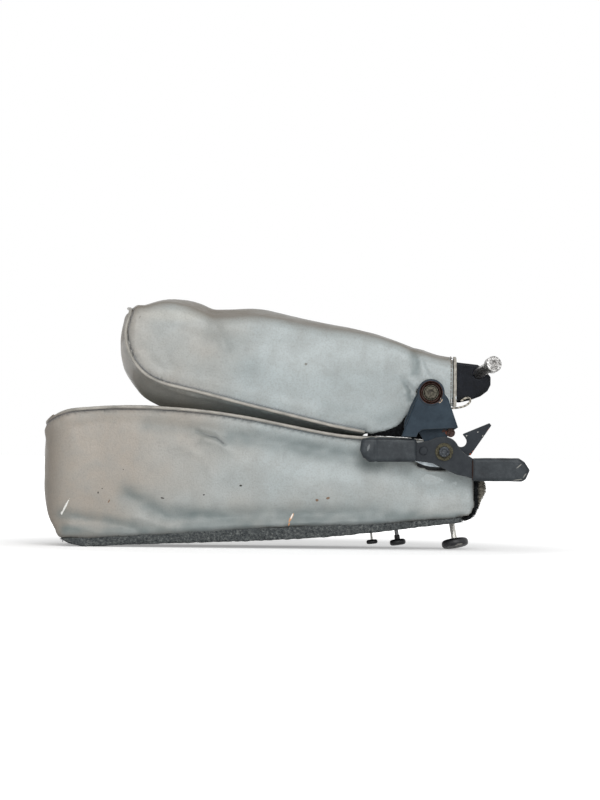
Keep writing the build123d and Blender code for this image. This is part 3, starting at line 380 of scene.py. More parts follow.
def lower_move(p, n):
    """How far the hide stands off its plain shape: waves, folds, the nose's swell and the pull of the seam."""
    front = front_share(p, n)
    rise = 0.8 * noise.noise(Vector((p.x * 0.017, p.y * 0.02, p.z * 0.028)))
    rise += 0.22 * noise.noise(Vector((p.x * 0.06, p.y * 0.07, p.z * 0.09)) + Vector((3, 7, 1)))
    if front:
        for line, width, height in LOWER_FOLDS:
            far = off_line(p, line)[0]
            if far < 2.5 * width:
                rise += front * height * bell(far, width)
    if p.x < -150:
        rise += min(1.0, (-150 - p.x) / 30) * (2.4 * bell(p.z - 55, 45) + 0.4 * bell(p.z - 20, 9))
    if p.z < 40:
        rise += 0.7 * bell(base_tree.find_nearest(p * MM)[3] / MM, 4.0)
    return n * rise + to_cord(p, n, lower_cord_tree, 2.6)


def lower_masks(p, n):
    """Painted shade: in dips over the base and under the seam, where the wall turns away, and at seams."""
    front = front_share(p, n)
    cord = lower_cord_tree.find_nearest(p * MM)[3] / MM
    painted_crease_shade = 0.95 * bell(cord - 2.9, 0.4) if n.z < 0.6 else 0.0
    if not front:
        return 0.0, 0.35 * bell(n.y + 0.3, 0.5), painted_crease_shade
    spread = 0.9 + 0.35 * noise.noise(Vector((p.x * 0.03, p.z * 0.05, 4.0)))
    spread += 0.35 * noise.noise(Vector((p.x * 0.11, p.z * 0.16, 9.0)))
    painted_hollow_shade = 0.0
    for line, width, strength in LOWER_HOLLOWS:
        painted_hollow_shade = max(painted_hollow_shade, strength * bell(off_line(p, line)[0], width))
    sharp, passed = off_line(p, LOWER_CREASE)
    painted_crease_shade = max(painted_crease_shade, bell(sharp, 0.35 + 0.35 * passed) * min(0.8, 0.3 + passed))
    base = base_tree.find_nearest(p * MM)[3] / MM
    painted_crease_shade = max(painted_crease_shade, 0.45 * bell(base, 2.2))
    return min(1.0, painted_hollow_shade * spread), 0.9 * bell(front - 0.35, 0.42), painted_crease_shade


lower_parts = ["lower_side_cover", "lower_face_panel", "lower_foam", "base_board"]
lower_hide = skin_of("lower_hide", lower_parts, voxel=2.2, relax=3)
stuffed(lower_hide, lower_parts, lower_held, start_in=1.6, limit=3.0)
for reach in (7, 4):
    refine(lower_hide, lambda p: (close_to(lower_cord_tree, p, reach)
                                  or (p.y < -20 and off_line(p, LOWER_CREASE)[0] < reach)))
sculpt(lower_hide, lower_move, lower_masks)
LOWER_STAINS = [
    ("#2B2723", [(-36.9, 50.2, 1.0, 0.8, 0), (-66.3, 42.5, 0.7, 0.6, 0), (-99.4, 39.5, 1.6, 0.6, -10),
                 (-150.9, 43.4, 0.6, 0.9, 0), (-147.7, 46.5, 0.45, 0.45, 0), (-131.0, 62.0, 0.4, 0.4, 0)]),
    ("#7A6350", [(24.1, 39.2, 1.2, 1.1, 0), (32.9, 40.9, 1.5, 1.0, 20), (-142.2, 36.6, 1.4, 0.5, 60)]),
    ("#F2F1EC", [(-177.2, 31.7, 6.4, 0.75, 63), (-180.0, 26.6, 1.3, 0.8, 80)]),
    ("#C98F5E", [(3.7, 24.9, 3.9, 0.9, 62), (2.0, 19.7, 1.3, 0.5, 70)]),
    ("#F4EFE6", [(4.1, 26.0, 2.2, 0.55, 66)]),
]
lower_finish = cowhide("lower pad cowhide", warm=(-150, 70), stains=LOWER_STAINS)


def dressed(piece, finish, slot, body, *stands_for):
    """Gives a new piece its finish, its body and the CAD nodes that it stands for; slot is not used."""
    piece.data.materials.clear()
    piece.data.materials.append(finish)
    if stands_for:
        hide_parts(*stands_for)
    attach(piece, body)


dressed(lower_hide, lower_finish, "leather_grey", "lower_pad", "lower_side_cover", "lower_face_panel", "lower_foam")

# ---- Upper pad: the same cover, upside down, with a deep crowned cushion face ----
# Its hide wraps over the top without a seam, dips once behind the nose, and gathers into a narrow collar round
# the end fitting. Fine wrinkles fan out from the nose and from the hinge boss.

# soft folds: their line in X and Z, half width and height
UPPER_FOLDS = [
    ([(-64, 192), (-58, 176), (-50, 160)], 4.0, -1.3),
    ([(-122, 150), (-112, 142), (-100, 137)], 2.4, 0.5), ([(-116, 158), (-106, 146), (-92, 140)], 2.2, -0.45),
    ([(-104, 152), (-96, 142)], 2.0, 0.5), ([(-98, 152), (-92, 143)], 1.8, -0.4),
    ([(-128, 176), (-118, 160)], 4, -0.4),
    ([(101, 162), (102.4, 150), (101, 140)], 4.4, -1.5), ([(106, 158), (109, 146), (112, 140)], 1.6, -0.8),
    ([(92, 136), (97, 128), (99, 120)], 3.2, -1.4), ([(96, 133), (101, 126)], 1.4, -0.8),
    ([(94, 122), (98, 114)], 2.0, -0.9), ([(88, 140), (94, 128), (95, 116)], 3.0, 0.8),
    ([(114, 146), (124, 143), (131, 138)], 2.2, -0.5), ([(-60, 150), (0, 140), (70, 130)], 14.0, 1.0),
    ([(-40, 186), (20, 178), (90, 163)], 5.0, 0.7), ([(-70, 136), (-20, 124), (40, 108)], 5.0, 0.6),
]
# hollows that the light leaves darker: their line, half width and strength
UPPER_HOLLOWS = [
    ([(101, 160), (102.4, 150), (101, 142)], 3.6, 0.75), ([(92, 134), (97, 127), (98, 120)], 3.0, 0.6),
    ([(-60, 176), (-44, 158), (-30, 148)], 11.0, 0.3),
    ([(30, 112), (70, 102), (88, 108)], 6.0, 0.35), ([(40, 140), (80, 134)], 14.0, 0.18),
]
UPPER_CREASE = [(95.6, 131.5), (98.6, 126.0), (99.4, 119.0)]
# the x of the collar's end, and where the hide is held to the upper boss: x, z and radius
COLLAR_X, UPPER_BOSS = 134.6, (114, 126, 22)
upper_cord = skin_of("upper_cord", ["upper_piping"], CORD_VOXEL, relax=2)


def upper_cord_tuck(p, n):
    """The cord's ends are tucked in, under the top of the pad and over the throat."""
    share, hinge_end = min(1.0, max(0.0, (p.z - 178) / 14)), min(1.0, max(0.0, (p.x - 36) / 28))
    inwards = 4.0 * hinge_end if p.y < 10 else -4.0 * hinge_end
    pucker = n * PUCKER * noise.noise(p / PUCKER_SIZE)
    return Vector((2.4 * share, inwards, 0.6 * hinge_end - 1.2 * share)) + pucker


moved(upper_cord, upper_cord_tuck)
upper_cord_tree = surface_of(upper_cord)


def upper_held(p):
    """Where the cover can't swell: at its seam, its hinge and its collar."""
    x, z, radius = UPPER_BOSS
    return close_to(upper_cord_tree, p, 7) or p.x > 104 or (p.y < -20 and hypot(p.x - x, p.z - z) < radius)


def upper_move(p, n):
    """How far the hide stands off its plain shape: waves, folds, the dip on top and the drawn-in nose."""
    front = front_share(p, n)
    rise = 0.7 * noise.noise(Vector((p.x * 0.02, p.y * 0.02, p.z * 0.03)) + Vector((9, 2, 5)))
    rise += 0.2 * noise.noise(Vector((p.x * 0.07, p.y * 0.08, p.z * 0.1)))
    for line, width, height in UPPER_FOLDS if front else ():
        far = off_line(p, line)[0]
        if far < 2.5 * width:
            rise += front * height * bell(far, width)
    if n.z > 0.2 and p.z > 150:
        rise += n.z * (1.4 * bell(p.x + 30, 24) - 1.0 * bell(p.x + 61, 6) + 1.2 * bell(p.x + 98, 16))
    nose = min(1.0, max(0.0, -n.x) * 1.4) * min(1.0, max(0.0, (-80 - p.x) / 20))
    rise -= nose * (2.0 + 0.8 * bell(p.z - 131, 9)) * min(1.0, max(0.0, (p.z - 104) / 20))
    return n * rise * min(1.0, max(0.0, (COLLAR_X - 4 - p.x) / 8)) + to_cord(p, n, upper_cord_tree, 2.4)


def upper_masks(p, n):
    """Painted shade: in dips by the collar and boss and under the nose, where the wall turns away, and at seams."""
    front = front_share(p, n)
    cord = upper_cord_tree.find_nearest(p * MM)[3] / MM
    below = n.z < -0.35 or n.x < -0.75
    painted_crease_shade = 0.95 * bell(cord - 2.7, 0.4) * (0.5 if below else 1.0)
    painted_hollow_shade = 0.3 * min(1.0, max(0.0, (148 - p.z) / 30)) if below else 0.0
    if not front:
        return painted_hollow_shade, 0.4 * bell(n.y + 0.2, 0.5) * (n.z > 0), painted_crease_shade
    for line, width, strength in UPPER_HOLLOWS:
        painted_hollow_shade = max(painted_hollow_shade, strength * bell(off_line(p, line)[0], width))
    sharp = off_line(p, UPPER_CREASE)[0]
    painted_crease_shade = max(painted_crease_shade, 0.7 * bell(sharp, 1.0) * (0.5 + noise.noise(Vector((p.x * 0.4, p.z * 0.4, 1.0)))))
    return min(1.0, painted_hollow_shade), 0.95 * bell(front - 0.3, 0.42) * (1.0 if n.z > 0 else 0.15), max(0.0, painted_crease_shade)


upper_parts = ["upper_side_cover", "upper_face_panel", "upper_foam"]
upper_hide = skin_of("upper_hide", upper_parts, voxel=2.0, relax=3)
stuffed(upper_hide, upper_parts, upper_held, start_in=1.4, limit=2.4)
refine(upper_hide, lambda p: close_to(upper_cord_tree, p, 7) or (p.y < -20 and p.x > 90))
refine(upper_hide, lambda p: close_to(upper_cord_tree, p, 4))
sculpt(upper_hide, upper_move, upper_masks)
UPPER_STAINS = [
    ("#75756F", [(14.1, 147.9, 1.2, 1.0, 10)]), ("#8B8983", [(-119.1, 184.1, 0.6, 1.4, -20)]),
]
upper_finish = cowhide("upper pad cowhide", warm=(-150, -20), stains=UPPER_STAINS, glare=(-92, -34, 186, 30, 20, 6))
dressed(upper_hide, upper_finish, "leather_grey", "upper_pad", "upper_side_cover", "upper_face_panel", "upper_foam")

# ---- Piping: a strip of the same hide sewn round a cord, in the seam of each cushion face ----
# The strip is stretched hard over the cord, so its top shines, and both its sides are lost in the seam, whose dark
# is painted shade on the hide beside it.

piping_hide, tree, shader, where = new_material("stretched piping hide")
rubbed = add(tree, "ShaderNodeTexNoise", "Fac", {"Vector": where, "Scale": 1 / (11 * MM), "Detail": 4.0})
pucker = add(tree, "ShaderNodeTexNoise", "Fac", {"Vector": where, "Scale": 1 / (2.2 * MM), "Detail": 2.0})
colour = add(tree, "ShaderNodeValToRGB", 0, {"Fac": rubbed}, [(0.3, "#85837C"), (0.52, "#9E9A92"), (0.75, "#B3AFA5")])
relief = add(tree, "ShaderNodeBump", 0, {"Height": pucker, "Distance": 0.3 * MM, "Strength": 0.5})
plug(tree, shader, {"Base Color": colour, "Roughness": 0.36, "Normal": relief})
dressed(lower_cord, piping_hide, "piping_cream", "lower_pad", "lower_piping")
dressed(upper_cord, piping_hide, "piping_cream", "upper_pad", "upper_piping")

# ---- Collar: a bound edge with a row of stitches, a pull strap and black felt in the throat ----
# The edge strip is paler than the hide and its thread has browned. The strap is a loop of webbing that pulls the
# cover over the end fitting, and the felt closes the cover under its corner.

binding_hide, tree, shader, where = new_material("edge binding hide")
soil = add(tree, "ShaderNodeTexNoise", "Fac", {"Vector": where, "Scale": 1 / (3 * MM), "Detail": 4.0})
colour = add(tree, "ShaderNodeValToRGB", 0, {"Fac": soil}, [(0.3, "#7B776F"), (0.5, "#A09B91"), (0.7, "#B5B1A7")])
clip = marks(tree, where, [(135.0, 122.0, 0.9, 1.5, 10)])
colour = add(tree, "ShaderNodeMix", 2, {0: clip, 6: colour, 7: "#E6EBEE"}, data_type="RGBA")
relief = add(tree, "ShaderNodeBump", 0, {"Height": soil, "Distance": 0.3 * MM, "Strength": 0.5})
plug(tree, shader, {"Base Color": colour, "Roughness": 0.55, "Normal": relief})
BAND_START, BAND_TUCK = 132.4, 0.45      # the strip's inner edge, and the share of its width that is pulled in
collar_band = skin_of("collar_band", ["collar_binding"], voxel=0.5, relax=3)
moved(collar_band, lambda p, n: Vector((-BAND_TUCK * (p.x - BAND_START), 0, 0)))
dressed(collar_band, binding_hide, "piping_cream", "upper_pad", "collar_binding")

thread, tree, shader, where = new_material("browned polyester thread")
plug(tree, shader, {"Base Color": "#6B5C4E", "Roughness": 0.7})
STITCH = (2.6, 0.34, 3.4)      # length, radius and pitch


def stitch_tree(finish):
    """Geometry nodes that sew short stitches along a line."""
    made = bpy.data.node_groups.new("row of stitches", "GeometryNodeTree")
    made.interface.new_socket("Line", in_out="INPUT", socket_type="NodeSocketGeometry")
    for label, value in zip(("Length", "Radius", "Pitch"), STITCH):
        made.interface.new_socket(label, in_out="INPUT", socket_type="NodeSocketFloat").default_value = value * MM
    made.interface.new_socket("Stitches", in_out="OUTPUT", socket_type="NodeSocketGeometry")
    entry, leave = made.nodes.new("NodeGroupInput"), made.nodes.new("NodeGroupOutput")
    line = add(made, "GeometryNodeMeshToCurve", 0, {0: entry.outputs["Line"]})
    spread = add(made, "GeometryNodeCurveToPoints", "Points", {0: line, "Length": entry.outputs["Pitch"]},
                 mode="LENGTH").node
    body = add(made, "GeometryNodeMeshCylinder", 0,
               {"Vertices": 8, "Radius": entry.outputs["Radius"], "Depth": entry.outputs["Length"]},
               fill_type="TRIANGLE_FAN")
    sewn = add(made, "GeometryNodeInstanceOnPoints", 0,
               {"Points": spread.outputs["Points"], "Instance": body, "Rotation": spread.outputs["Rotation"]})
    solid = add(made, "GeometryNodeRealizeInstances", 0, {0: sewn})
    plug(made, leave, {"Stitches": add(made, "GeometryNodeSetMaterial", 0, {"Geometry": solid, "Material": finish})})
    return made


def grown(name, source_mesh, tree, **sizes):
    """Runs a geometry tree over a mesh and keeps the result as a plain mesh."""
    made = mesh_object(name, source_mesh)
    step = made.modifiers.new("Grow", "NODES")
    step.node_group = tree
    for item in tree.interface.items_tree:
        if item.in_out == "INPUT" and item.name in sizes:
            step[item.identifier] = sizes[item.name]
    apply_modifiers(made)
    return made


def collar_line():
    """Points on the hide round the collar, just behind its bound edge: found from outside, all the way round."""
    hide = surface_of(upper_hide)
    middle, outside, lift = Vector((COLLAR_X - 4.2, -10.0, 134.5)) * MM, 0.1, 0.05 * MM
    found, steps = [], 72
    for i in range(steps):
        aim = Vector((0, cos(2 * pi * i / steps), sin(2 * pi * i / steps)))
        spot = hide.ray_cast(middle + aim * outside, -aim)[0]
        if spot:
            found.append(spot + aim * lift)
    return found


ring = collar_line()
path = bpy.data.meshes.new("collar line")
path.from_pydata(ring, [(i, (i + 1) % len(ring)) for i in range(len(ring))], [])
collar_stitches = grown("collar_stitches", path, stitch_tree(thread))
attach(collar_stitches, "upper_pad")

webbing, tree, shader, where = new_material("grey cotton webbing")
weave = add(tree, "ShaderNodeTexWave", "Fac", {"Vector": where, "Scale": 1 / (1.1 * MM * 2 * pi), "Distortion": 3.0,
                                               "Detail": 2.0, "Detail Scale": 3.0}, bands_direction="DIAGONAL")
colour = add(tree, "ShaderNodeValToRGB", 0, {"Fac": weave}, [(0.2, "#6E6A62"), (0.55, "#A29D92"), (0.9, "#C9C2B2")])
relief = add(tree, "ShaderNodeBump", 0, {"Height": weave, "Distance": 0.3 * MM, "Strength": 0.7})
plug(tree, shader, {"Base Color": colour, "Roughness": 0.9, "Normal": relief})
pull_strap = skin_of("pull_strap", ["pull_tab"], voxel=0.45, relax=3)
dressed(pull_strap, webbing, "tab_beige", "upper_pad", "pull_tab")


def felt_of(name, dark, mid, pale, split=None):
    """Needle-punched felt: a mat of tangled fibre, so it is quite dull and its colour breaks into specks.

    split is the X at which the mat turns to a second, sun-bleached pair of shades."""
    made, tree, shader, where = new_material(name)
    fluff = add(tree, "ShaderNodeTexNoise", "Fac",
                {"Vector": where, "Scale": 1 / (2.1 * MM), "Detail": 5.0, "Roughness": 0.75})
    patch = add(tree, "ShaderNodeTexNoise", "Fac", {"Vector": where, "Scale": 1 / (19 * MM), "Detail": 3.0})
    colour = add(tree, "ShaderNodeValToRGB", 0, {"Fac": fluff}, [(0.34, dark), (0.5, mid), (0.66, pale)])
    worn = add(tree, "ShaderNodeMapRange", 0, {"Value": patch, "From Min": 0.4, "From Max": 0.7, "To Max": 0.45})
    colour = add(tree, "ShaderNodeMix", 2, {0: worn, 6: colour, 7: mid}, data_type="RGBA")
    if split:
        along = add(tree, "ShaderNodeSeparateXYZ", "X", {0: where})
        late = add(tree, "ShaderNodeMapRange", 0, {"Value": add(tree, "ShaderNodeMath", 0, {0: along, 1: add(
            tree, "ShaderNodeMath", 0, {0: fluff, 1: 4 * MM}, operation="MULTIPLY")}, operation="ADD"),
            "From Min": (split[0] + 1.2) * MM, "From Max": (split[0] + 3.2) * MM})
        bleached = add(tree, "ShaderNodeValToRGB", 0, {"Fac": fluff}, [(0.34, split[1]), (0.62, split[2])])
        colour = add(tree, "ShaderNodeMix", 2, {0: late, 6: colour, 7: bleached}, data_type="RGBA")
    relief = add(tree, "ShaderNodeBump", 0, {"Height": fluff, "Distance": 1.4 * MM, "Strength": 0.8})
    plug(tree, shader, {"Base Color": colour, "Roughness": 0.95, "Specular IOR Level": 0.1, "Normal": relief})
    return made


black_felt = felt_of("black felt", "#070708", "#101113", "#26282B")
# the wad is drawn to fill the dark gap behind the bracket, so its near-black also stands in for shade there
# the wad's side outline in X and Z, and its front and back faces in Y
THROAT = [(64, 91.0), (78, 91.2), (91.8, 90.6), (110, 88.6), (112, 96), (100, 103), (97.0, 109), (100.4, 119),
          (99, 126), (88, 124), (78, 112)]
THROAT_DEPTH = (-31, 12)
wad = bmesh.new()
front, back = ([wad.verts.new((x * MM, y * MM, z * MM)) for x, z in THROAT] for y in THROAT_DEPTH)
wad.faces.new(front)
wad.faces.new(back[::-1])
for i in range(len(THROAT)):
    j = (i + 1) % len(THROAT)
    wad.faces.new((front[j], front[i], back[i], back[j]))
bmesh.ops.recalc_face_normals(wad, faces=wad.faces)
throat = mesh_object("throat_mat", bpy.data.meshes.new("throat_wad"))
wad.to_mesh(throat.data)
wad.free()
skin = throat.modifiers.new("Skin", "REMESH")
skin.mode, skin.voxel_size = "VOXEL", 1.2 * MM
apply_modifiers(throat)
throat.data.polygons.foreach_set("use_smooth", [True] * len(throat.data.polygons))
roughened(throat, height=0.8, size=3.0)
dressed(throat, black_felt, "carpet_charcoal", "upper_pad", "throat_felt")

# ---- Carpet: needle felt glued round the plywood base and folded up over the open rear end ----
# Its short tangled pile stands out past the edge of the hide, so the line between the two is soft and specky.

BLEACHED_X = 153.6      # the rear flap is sun-bleached past here
base_felt = felt_of("grey needle felt", "#2F3235", "#55595A", "#838684")
rear_felt = felt_of("rear needle felt", "#0B0C0E", "#17191B", "#2D3033", (BLEACHED_X, "#2E2C29", "#8F8A7E"))
base_hair = felt_of("grey felt pile", "#36393B", "#646869", "#9B9D9A")
rear_hair = felt_of("rear felt pile", "#0C0D0F", "#1B1D1F", "#37393B", (BLEACHED_X, "#3A3733", "#B5B0A3"))


def pile_tree(name, mat, hair):
    """Geometry nodes that stand fibres on a carpet and keep the carpet under them.

    None grows on its underside or within 3 mm of the floor. They lean every way, by up to 49 degrees."""
    made = bpy.data.node_groups.new(name, "GeometryNodeTree")
    made.interface.new_socket("Carpet", in_out="INPUT", socket_type="NodeSocketGeometry")
    for label, value in (("Density", 6.0e5), ("Length", 2.2 * MM), ("Width", 0.22 * MM)):
        made.interface.new_socket(label, in_out="INPUT", socket_type="NodeSocketFloat").default_value = value
    made.interface.new_socket("Pile", in_out="OUTPUT", socket_type="NodeSocketGeometry")
    entry, leave = made.nodes.new("NodeGroupInput"), made.nodes.new("NodeGroupOutput")
    aim = add(made, "ShaderNodeSeparateXYZ", "Z", {0: add(made, "GeometryNodeInputNormal")})
    height = add(made, "ShaderNodeSeparateXYZ", "Z", {0: add(made, "GeometryNodeInputPosition")})
    side = add(made, "FunctionNodeCompare", 0, {0: aim, 1: -0.5}, operation="GREATER_THAN")
    high = add(made, "FunctionNodeCompare", 0, {0: height, 1: 3.0 * MM}, operation="GREATER_THAN")
    free = add(made, "FunctionNodeBooleanMath", 0, {0: side, 1: high}, operation="AND")
    scatter = add(made, "GeometryNodeDistributePointsOnFaces", "Points",
                  {"Mesh": entry.outputs["Carpet"], "Density": entry.outputs["Density"], "Selection": free,
                   "Seed": 7}, distribute_method="RANDOM").node
    fibre = add(made, "GeometryNodeMeshCone", "Mesh", {"Radius Bottom": entry.outputs["Width"], "Vertices": 3,
                "Depth": entry.outputs["Length"], "Radius Top": 0.04 * MM}, fill_type="NONE")
    lean = add(made, "FunctionNodeRandomValue", 0, {0: (-0.85, -0.85, -3.1), 1: (0.85, 0.85, 3.1), "Seed": 3},
               data_type="FLOAT_VECTOR")
    turn = add(made, "FunctionNodeRotateRotation", 0, {0: scatter.outputs["Rotation"], 1: lean},
               rotation_space="LOCAL")
    size = add(made, "FunctionNodeRandomValue", 1, {2: 0.35, 3: 1.2, "Seed": 5}, data_type="FLOAT")
    stand = add(made, "GeometryNodeInstanceOnPoints", 0,
                {"Points": scatter.outputs["Points"], "Instance": fibre, "Rotation": turn, "Scale": size})
    solid = add(made, "GeometryNodeRealizeInstances", 0, {0: stand})
    hairs = add(made, "GeometryNodeSetMaterial", 0, {"Geometry": solid, "Material": hair})
    ground = add(made, "GeometryNodeSetMaterial", 0, {"Geometry": entry.outputs["Carpet"], "Material": mat})
    join = add(made, "GeometryNodeJoinGeometry", 0, {0: ground})
    made.links.new(hairs, join.node.inputs[0])
    plug(made, leave, {"Pile": join})
    return made


# each mat, its CAD node, its tree and its fibres to the square metre
for name, source, tree, density in (
        ("base_pile", "base_carpet", pile_tree("base carpet", base_felt, base_hair), 560000.0),
        ("rear_pile", "rear_carpet", pile_tree("rear carpet", rear_felt, rear_hair), 900000.0)):
    mat = skin_of(source + "_mat", [source], voxel=1.6, relax=2)
    roughened(mat, height=0.6, size=5.0)
    pile = grown(name, mat.data.copy(), tree, Density=density)
    bpy.data.objects.remove(mat)
    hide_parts(source)
    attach(pile, "lower_pad")

# ---- Bracket, hook and lever: pressed steel under stoved enamel, knocked about ----
# The bracket is blue-black, the lever charcoal, and both are rubbed grey on their edges. Rust shows in the eye of
# the bracket, in the folds and in a few orange chips.


THROUGH = 60.0      # mm deep, so that a mark goes right through the piece


def axle_radius(tree, where, pivot):
    """Distance from a pivot's axis, in millimetres."""
    local = add(tree, "ShaderNodeMapping", 0, {"Vector": where, "Location": (pivot[0] * MM, 0, pivot[1] * MM),
                                               "Scale": (MM, 1e6, MM)}, vector_type="TEXTURE")
    return add(tree, "ShaderNodeVectorMath", "Value", {0: local}, operation="LENGTH")


def enamel(name, coats, bare, edge, chipped, rough, shine, stains=(), rusty_eye=None):
    """Stoved enamel on steel: smooth, worn through to `bare` along edges and in small chips.

    edge is the width in mm over which a corner wears, and chipped the noise level above which the coat is gone.
    rusty_eye is a pivot, and the radius in mm round it that has rusted."""
    made, tree, shader, where = new_material(name)
    cloud = add(tree, "ShaderNodeTexNoise", "Fac",
                {"Vector": where, "Scale": 1 / (13 * MM), "Detail": 5.0, "Roughness": 0.65})
    ragged = add(tree, "ShaderNodeTexNoise", "Fac",
                 {"Vector": where, "Scale": 1 / (2.0 * MM), "Detail": 4.0, "Roughness": 0.75})
    chips = add(tree, "ShaderNodeTexNoise", "Fac",
                {"Vector": where, "Scale": 1 / (5 * MM), "Detail": 6.0, "Roughness": 0.75, "Distortion": 0.6})
    coat = add(tree, "ShaderNodeValToRGB", 0, {"Fac": cloud}, [(0.35, coats[0]), (0.62, coats[1])])
    under = add(tree, "ShaderNodeValToRGB", 0, {"Fac": ragged}, [(0.4, bare[0]), (0.62, bare[1])])
    soft = add(tree, "ShaderNodeBevel", 0, {"Radius": edge * MM}, samples=6)
    flat = add(tree, "ShaderNodeNewGeometry", "Normal")
    bend = add(tree, "ShaderNodeVectorMath", "Value", {0: soft, 1: flat}, operation="DOT_PRODUCT")
    edge_wear = add(tree, "ShaderNodeMapRange", 0,
                    {"Value": bend, "From Min": 0.995, "From Max": 0.9, "To Max": 0.75})
    edge_wear = add(tree, "ShaderNodeMath", 0, {0: edge_wear, 1: ragged}, operation="MULTIPLY")
    worn = add(tree, "ShaderNodeMapRange", 0, {"Value": edge_wear, "From Min": 0.26, "From Max": 0.36, "To Max": 0.8})
    chip = add(tree, "ShaderNodeMapRange", 0, {"Value": chips, "From Min": chipped, "From Max": chipped + 0.015})
    worn = add(tree, "ShaderNodeMath", 0, {0: worn, 1: chip}, operation="MAXIMUM")
    colour = add(tree, "ShaderNodeMix", 2, {0: worn, 6: coat, 7: under}, data_type="RGBA")
    if rusty_eye:
        pivot, radius = rusty_eye
        far = add(tree, "ShaderNodeMath", 0, {0: axle_radius(tree, where, pivot), 1: ragged}, operation="ADD")
        inside = add(tree, "ShaderNodeMapRange", 0,
                     {"Value": far, "From Min": radius + 0.8, "From Max": radius + 0.3})
        rust = add(tree, "ShaderNodeValToRGB", 0, {"Fac": ragged},
                   [(0.35, "#1B110E"), (0.52, "#382019"), (0.7, "#6A4636")])
        colour = add(tree, "ShaderNodeMix", 2, {0: inside, 6: colour, 7: rust}, data_type="RGBA")
    for shade, rows in stains:
        colour = add(tree, "ShaderNodeMix", 2, {0: marks(tree, where, rows, deep=THROUGH), 6: colour, 7: shade},
                     data_type="RGBA")
    matt = add(tree, "ShaderNodeMapRange", 0, {"Value": cloud, "From Min": 0.3, "From Max": 0.7,
                                               "To Min": rough - 0.06, "To Max": rough + 0.1})
    peel = add(tree, "ShaderNodeBump", 0, {"Height": ragged, "Distance": 0.12 * MM, "Strength": 0.35, "Normal": soft})
    plug(tree, shader, {"Base Color": colour, "Roughness": matt, "Specular IOR Level": shine, "Normal": peel})
    return made


def paint(finish, *names):
    """Gives CAD pieces their real finish."""
    for name in names:
        nodes[name].data.materials.clear()
        nodes[name].data.materials.append(finish)


UPPER_PIVOT = (114.0, 126.2)
RUST, PALE_RUST = "#A24E2A", "#553A30"
bracket_enamel = enamel(
    "blue-black enamel", ("#26313B", "#34404A"), ("#464B50", "#6E6F6B"), edge=0.9, chipped=0.735, rough=0.38,
    shine=0.1, stains=[
     (RUST, [(103.0, 89.4, 1.1, 0.8, 0), (127.0, 94.0, 0.8, 1.6, 20), (129.6, 95.6, 1.6, 0.5, 30)]),
     (PALE_RUST, [(124.6, 95.6, 1.6, 1.0, 30), (130.4, 96.4, 1.0, 0.7, 0)]),
     ("#C9B49E", [(121.2, 124.0, 0.5, 3.0, 8), (122.6, 120.0, 1.4, 0.5, 60), (121.0, 118.4, 0.9, 0.5, 0)])],
    rusty_eye=(UPPER_PIVOT, 9.3))
lever_enamel = enamel(
    "charcoal enamel", ("#24282D", "#34383C"), ("#4A4B4C", "#6E6D69"), edge=1.0, chipped=0.74, rough=0.4,
    shine=0.13, stains=[(RUST, [(103.4, 88.8, 1.0, 0.6, 20)])])
hook_enamel = enamel(
    "chipped charcoal enamel", ("#22272C", "#31363B"), ("#4A4B4C", "#6A6863"), edge=0.8, chipped=0.72, rough=0.45,
    shine=0.13, stains=[
     (RUST, [(160.4, 96.6, 1.4, 0.5, 60), (149.0, 79.6, 1.5, 0.6, 25), (146.2, 77.4, 0.7, 0.6, 0)]),
     ("#B9B8B3", [(143.0, 92.0, 0.5, 0.5, 0), (152.0, 95.0, 0.5, 0.4, 0), (156.0, 92.0, 0.5, 0.5, 0)])])
paint(bracket_enamel, "hinge_bracket")
paint(lever_enamel, "lever_plate", "lever_rivet")

# The two grips are dipped in charcoal vinyl, so their corners are soft. The front one swells at its end, behind a
# shallow groove, and the rear one is scuffed at its tip. The front one also has a painted highlight on its end and
# painted shade along its top and bottom edges.

vinyl, tree, shader, where = new_material("charcoal dipped vinyl")
dust = add(tree, "ShaderNodeTexNoise", "Fac",
           {"Vector": where, "Scale": 1 / (9 * MM), "Detail": 6.0, "Roughness": 0.7})
fine = add(tree, "ShaderNodeTexNoise", "Fac", {"Vector": where, "Scale": 1 / (1.2 * MM), "Detail": 3.0})
colour = add(tree, "ShaderNodeValToRGB", 0, {"Fac": dust}, [(0.35, "#262A2E"), (0.55, "#33383C"), (0.75, "#474B4E")])
# rust, a painted highlight on the front grip's end, painted shade along its top and bottom edges, scuffs
for shade, rows in (("#3A2B26", [(147.9, 65.0, 8.5, 0.6, 90)]), ("#6C7072", [(64.6, 81.6, 2.4, 0.9, 75)]),
                    ("#1C1F22", [(80.0, 88.6, 22.0, 0.5, 1), (92, 68.2, 14.0, 0.5, 0)]),
                    ("#8A8984", [(184.8, 68.2, 2.6, 0.45, 38), (184.0, 57.4, 4.2, 0.4, 8),
                                 (189.4, 60.8, 2.4, 0.4, 55), (62.0, 72.6, 1.4, 0.35, -30)])):
    colour = add(tree, "ShaderNodeMix", 2, {0: marks(tree, where, rows, deep=THROUGH), 6: colour, 7: shade},
                 data_type="RGBA")
relief = add(tree, "ShaderNodeBump", 0, {"Height": fine, "Distance": 0.12 * MM, "Strength": 0.5})
plug(tree, shader, {"Base Color": colour, "Roughness": 0.42, "Specular IOR Level": 0.2, "Normal": relief})


def front_swell(p, n):
    """The front grip's round end swells forwards, and a groove parts it from the rest."""
    swell = 0.9 * bell(hypot(p.x - 64.4, p.z - 79.6), 4.6) * (n.y < -0.5)
    return n * (swell - 0.45 * bell(p.x - 70.6, 1.1))


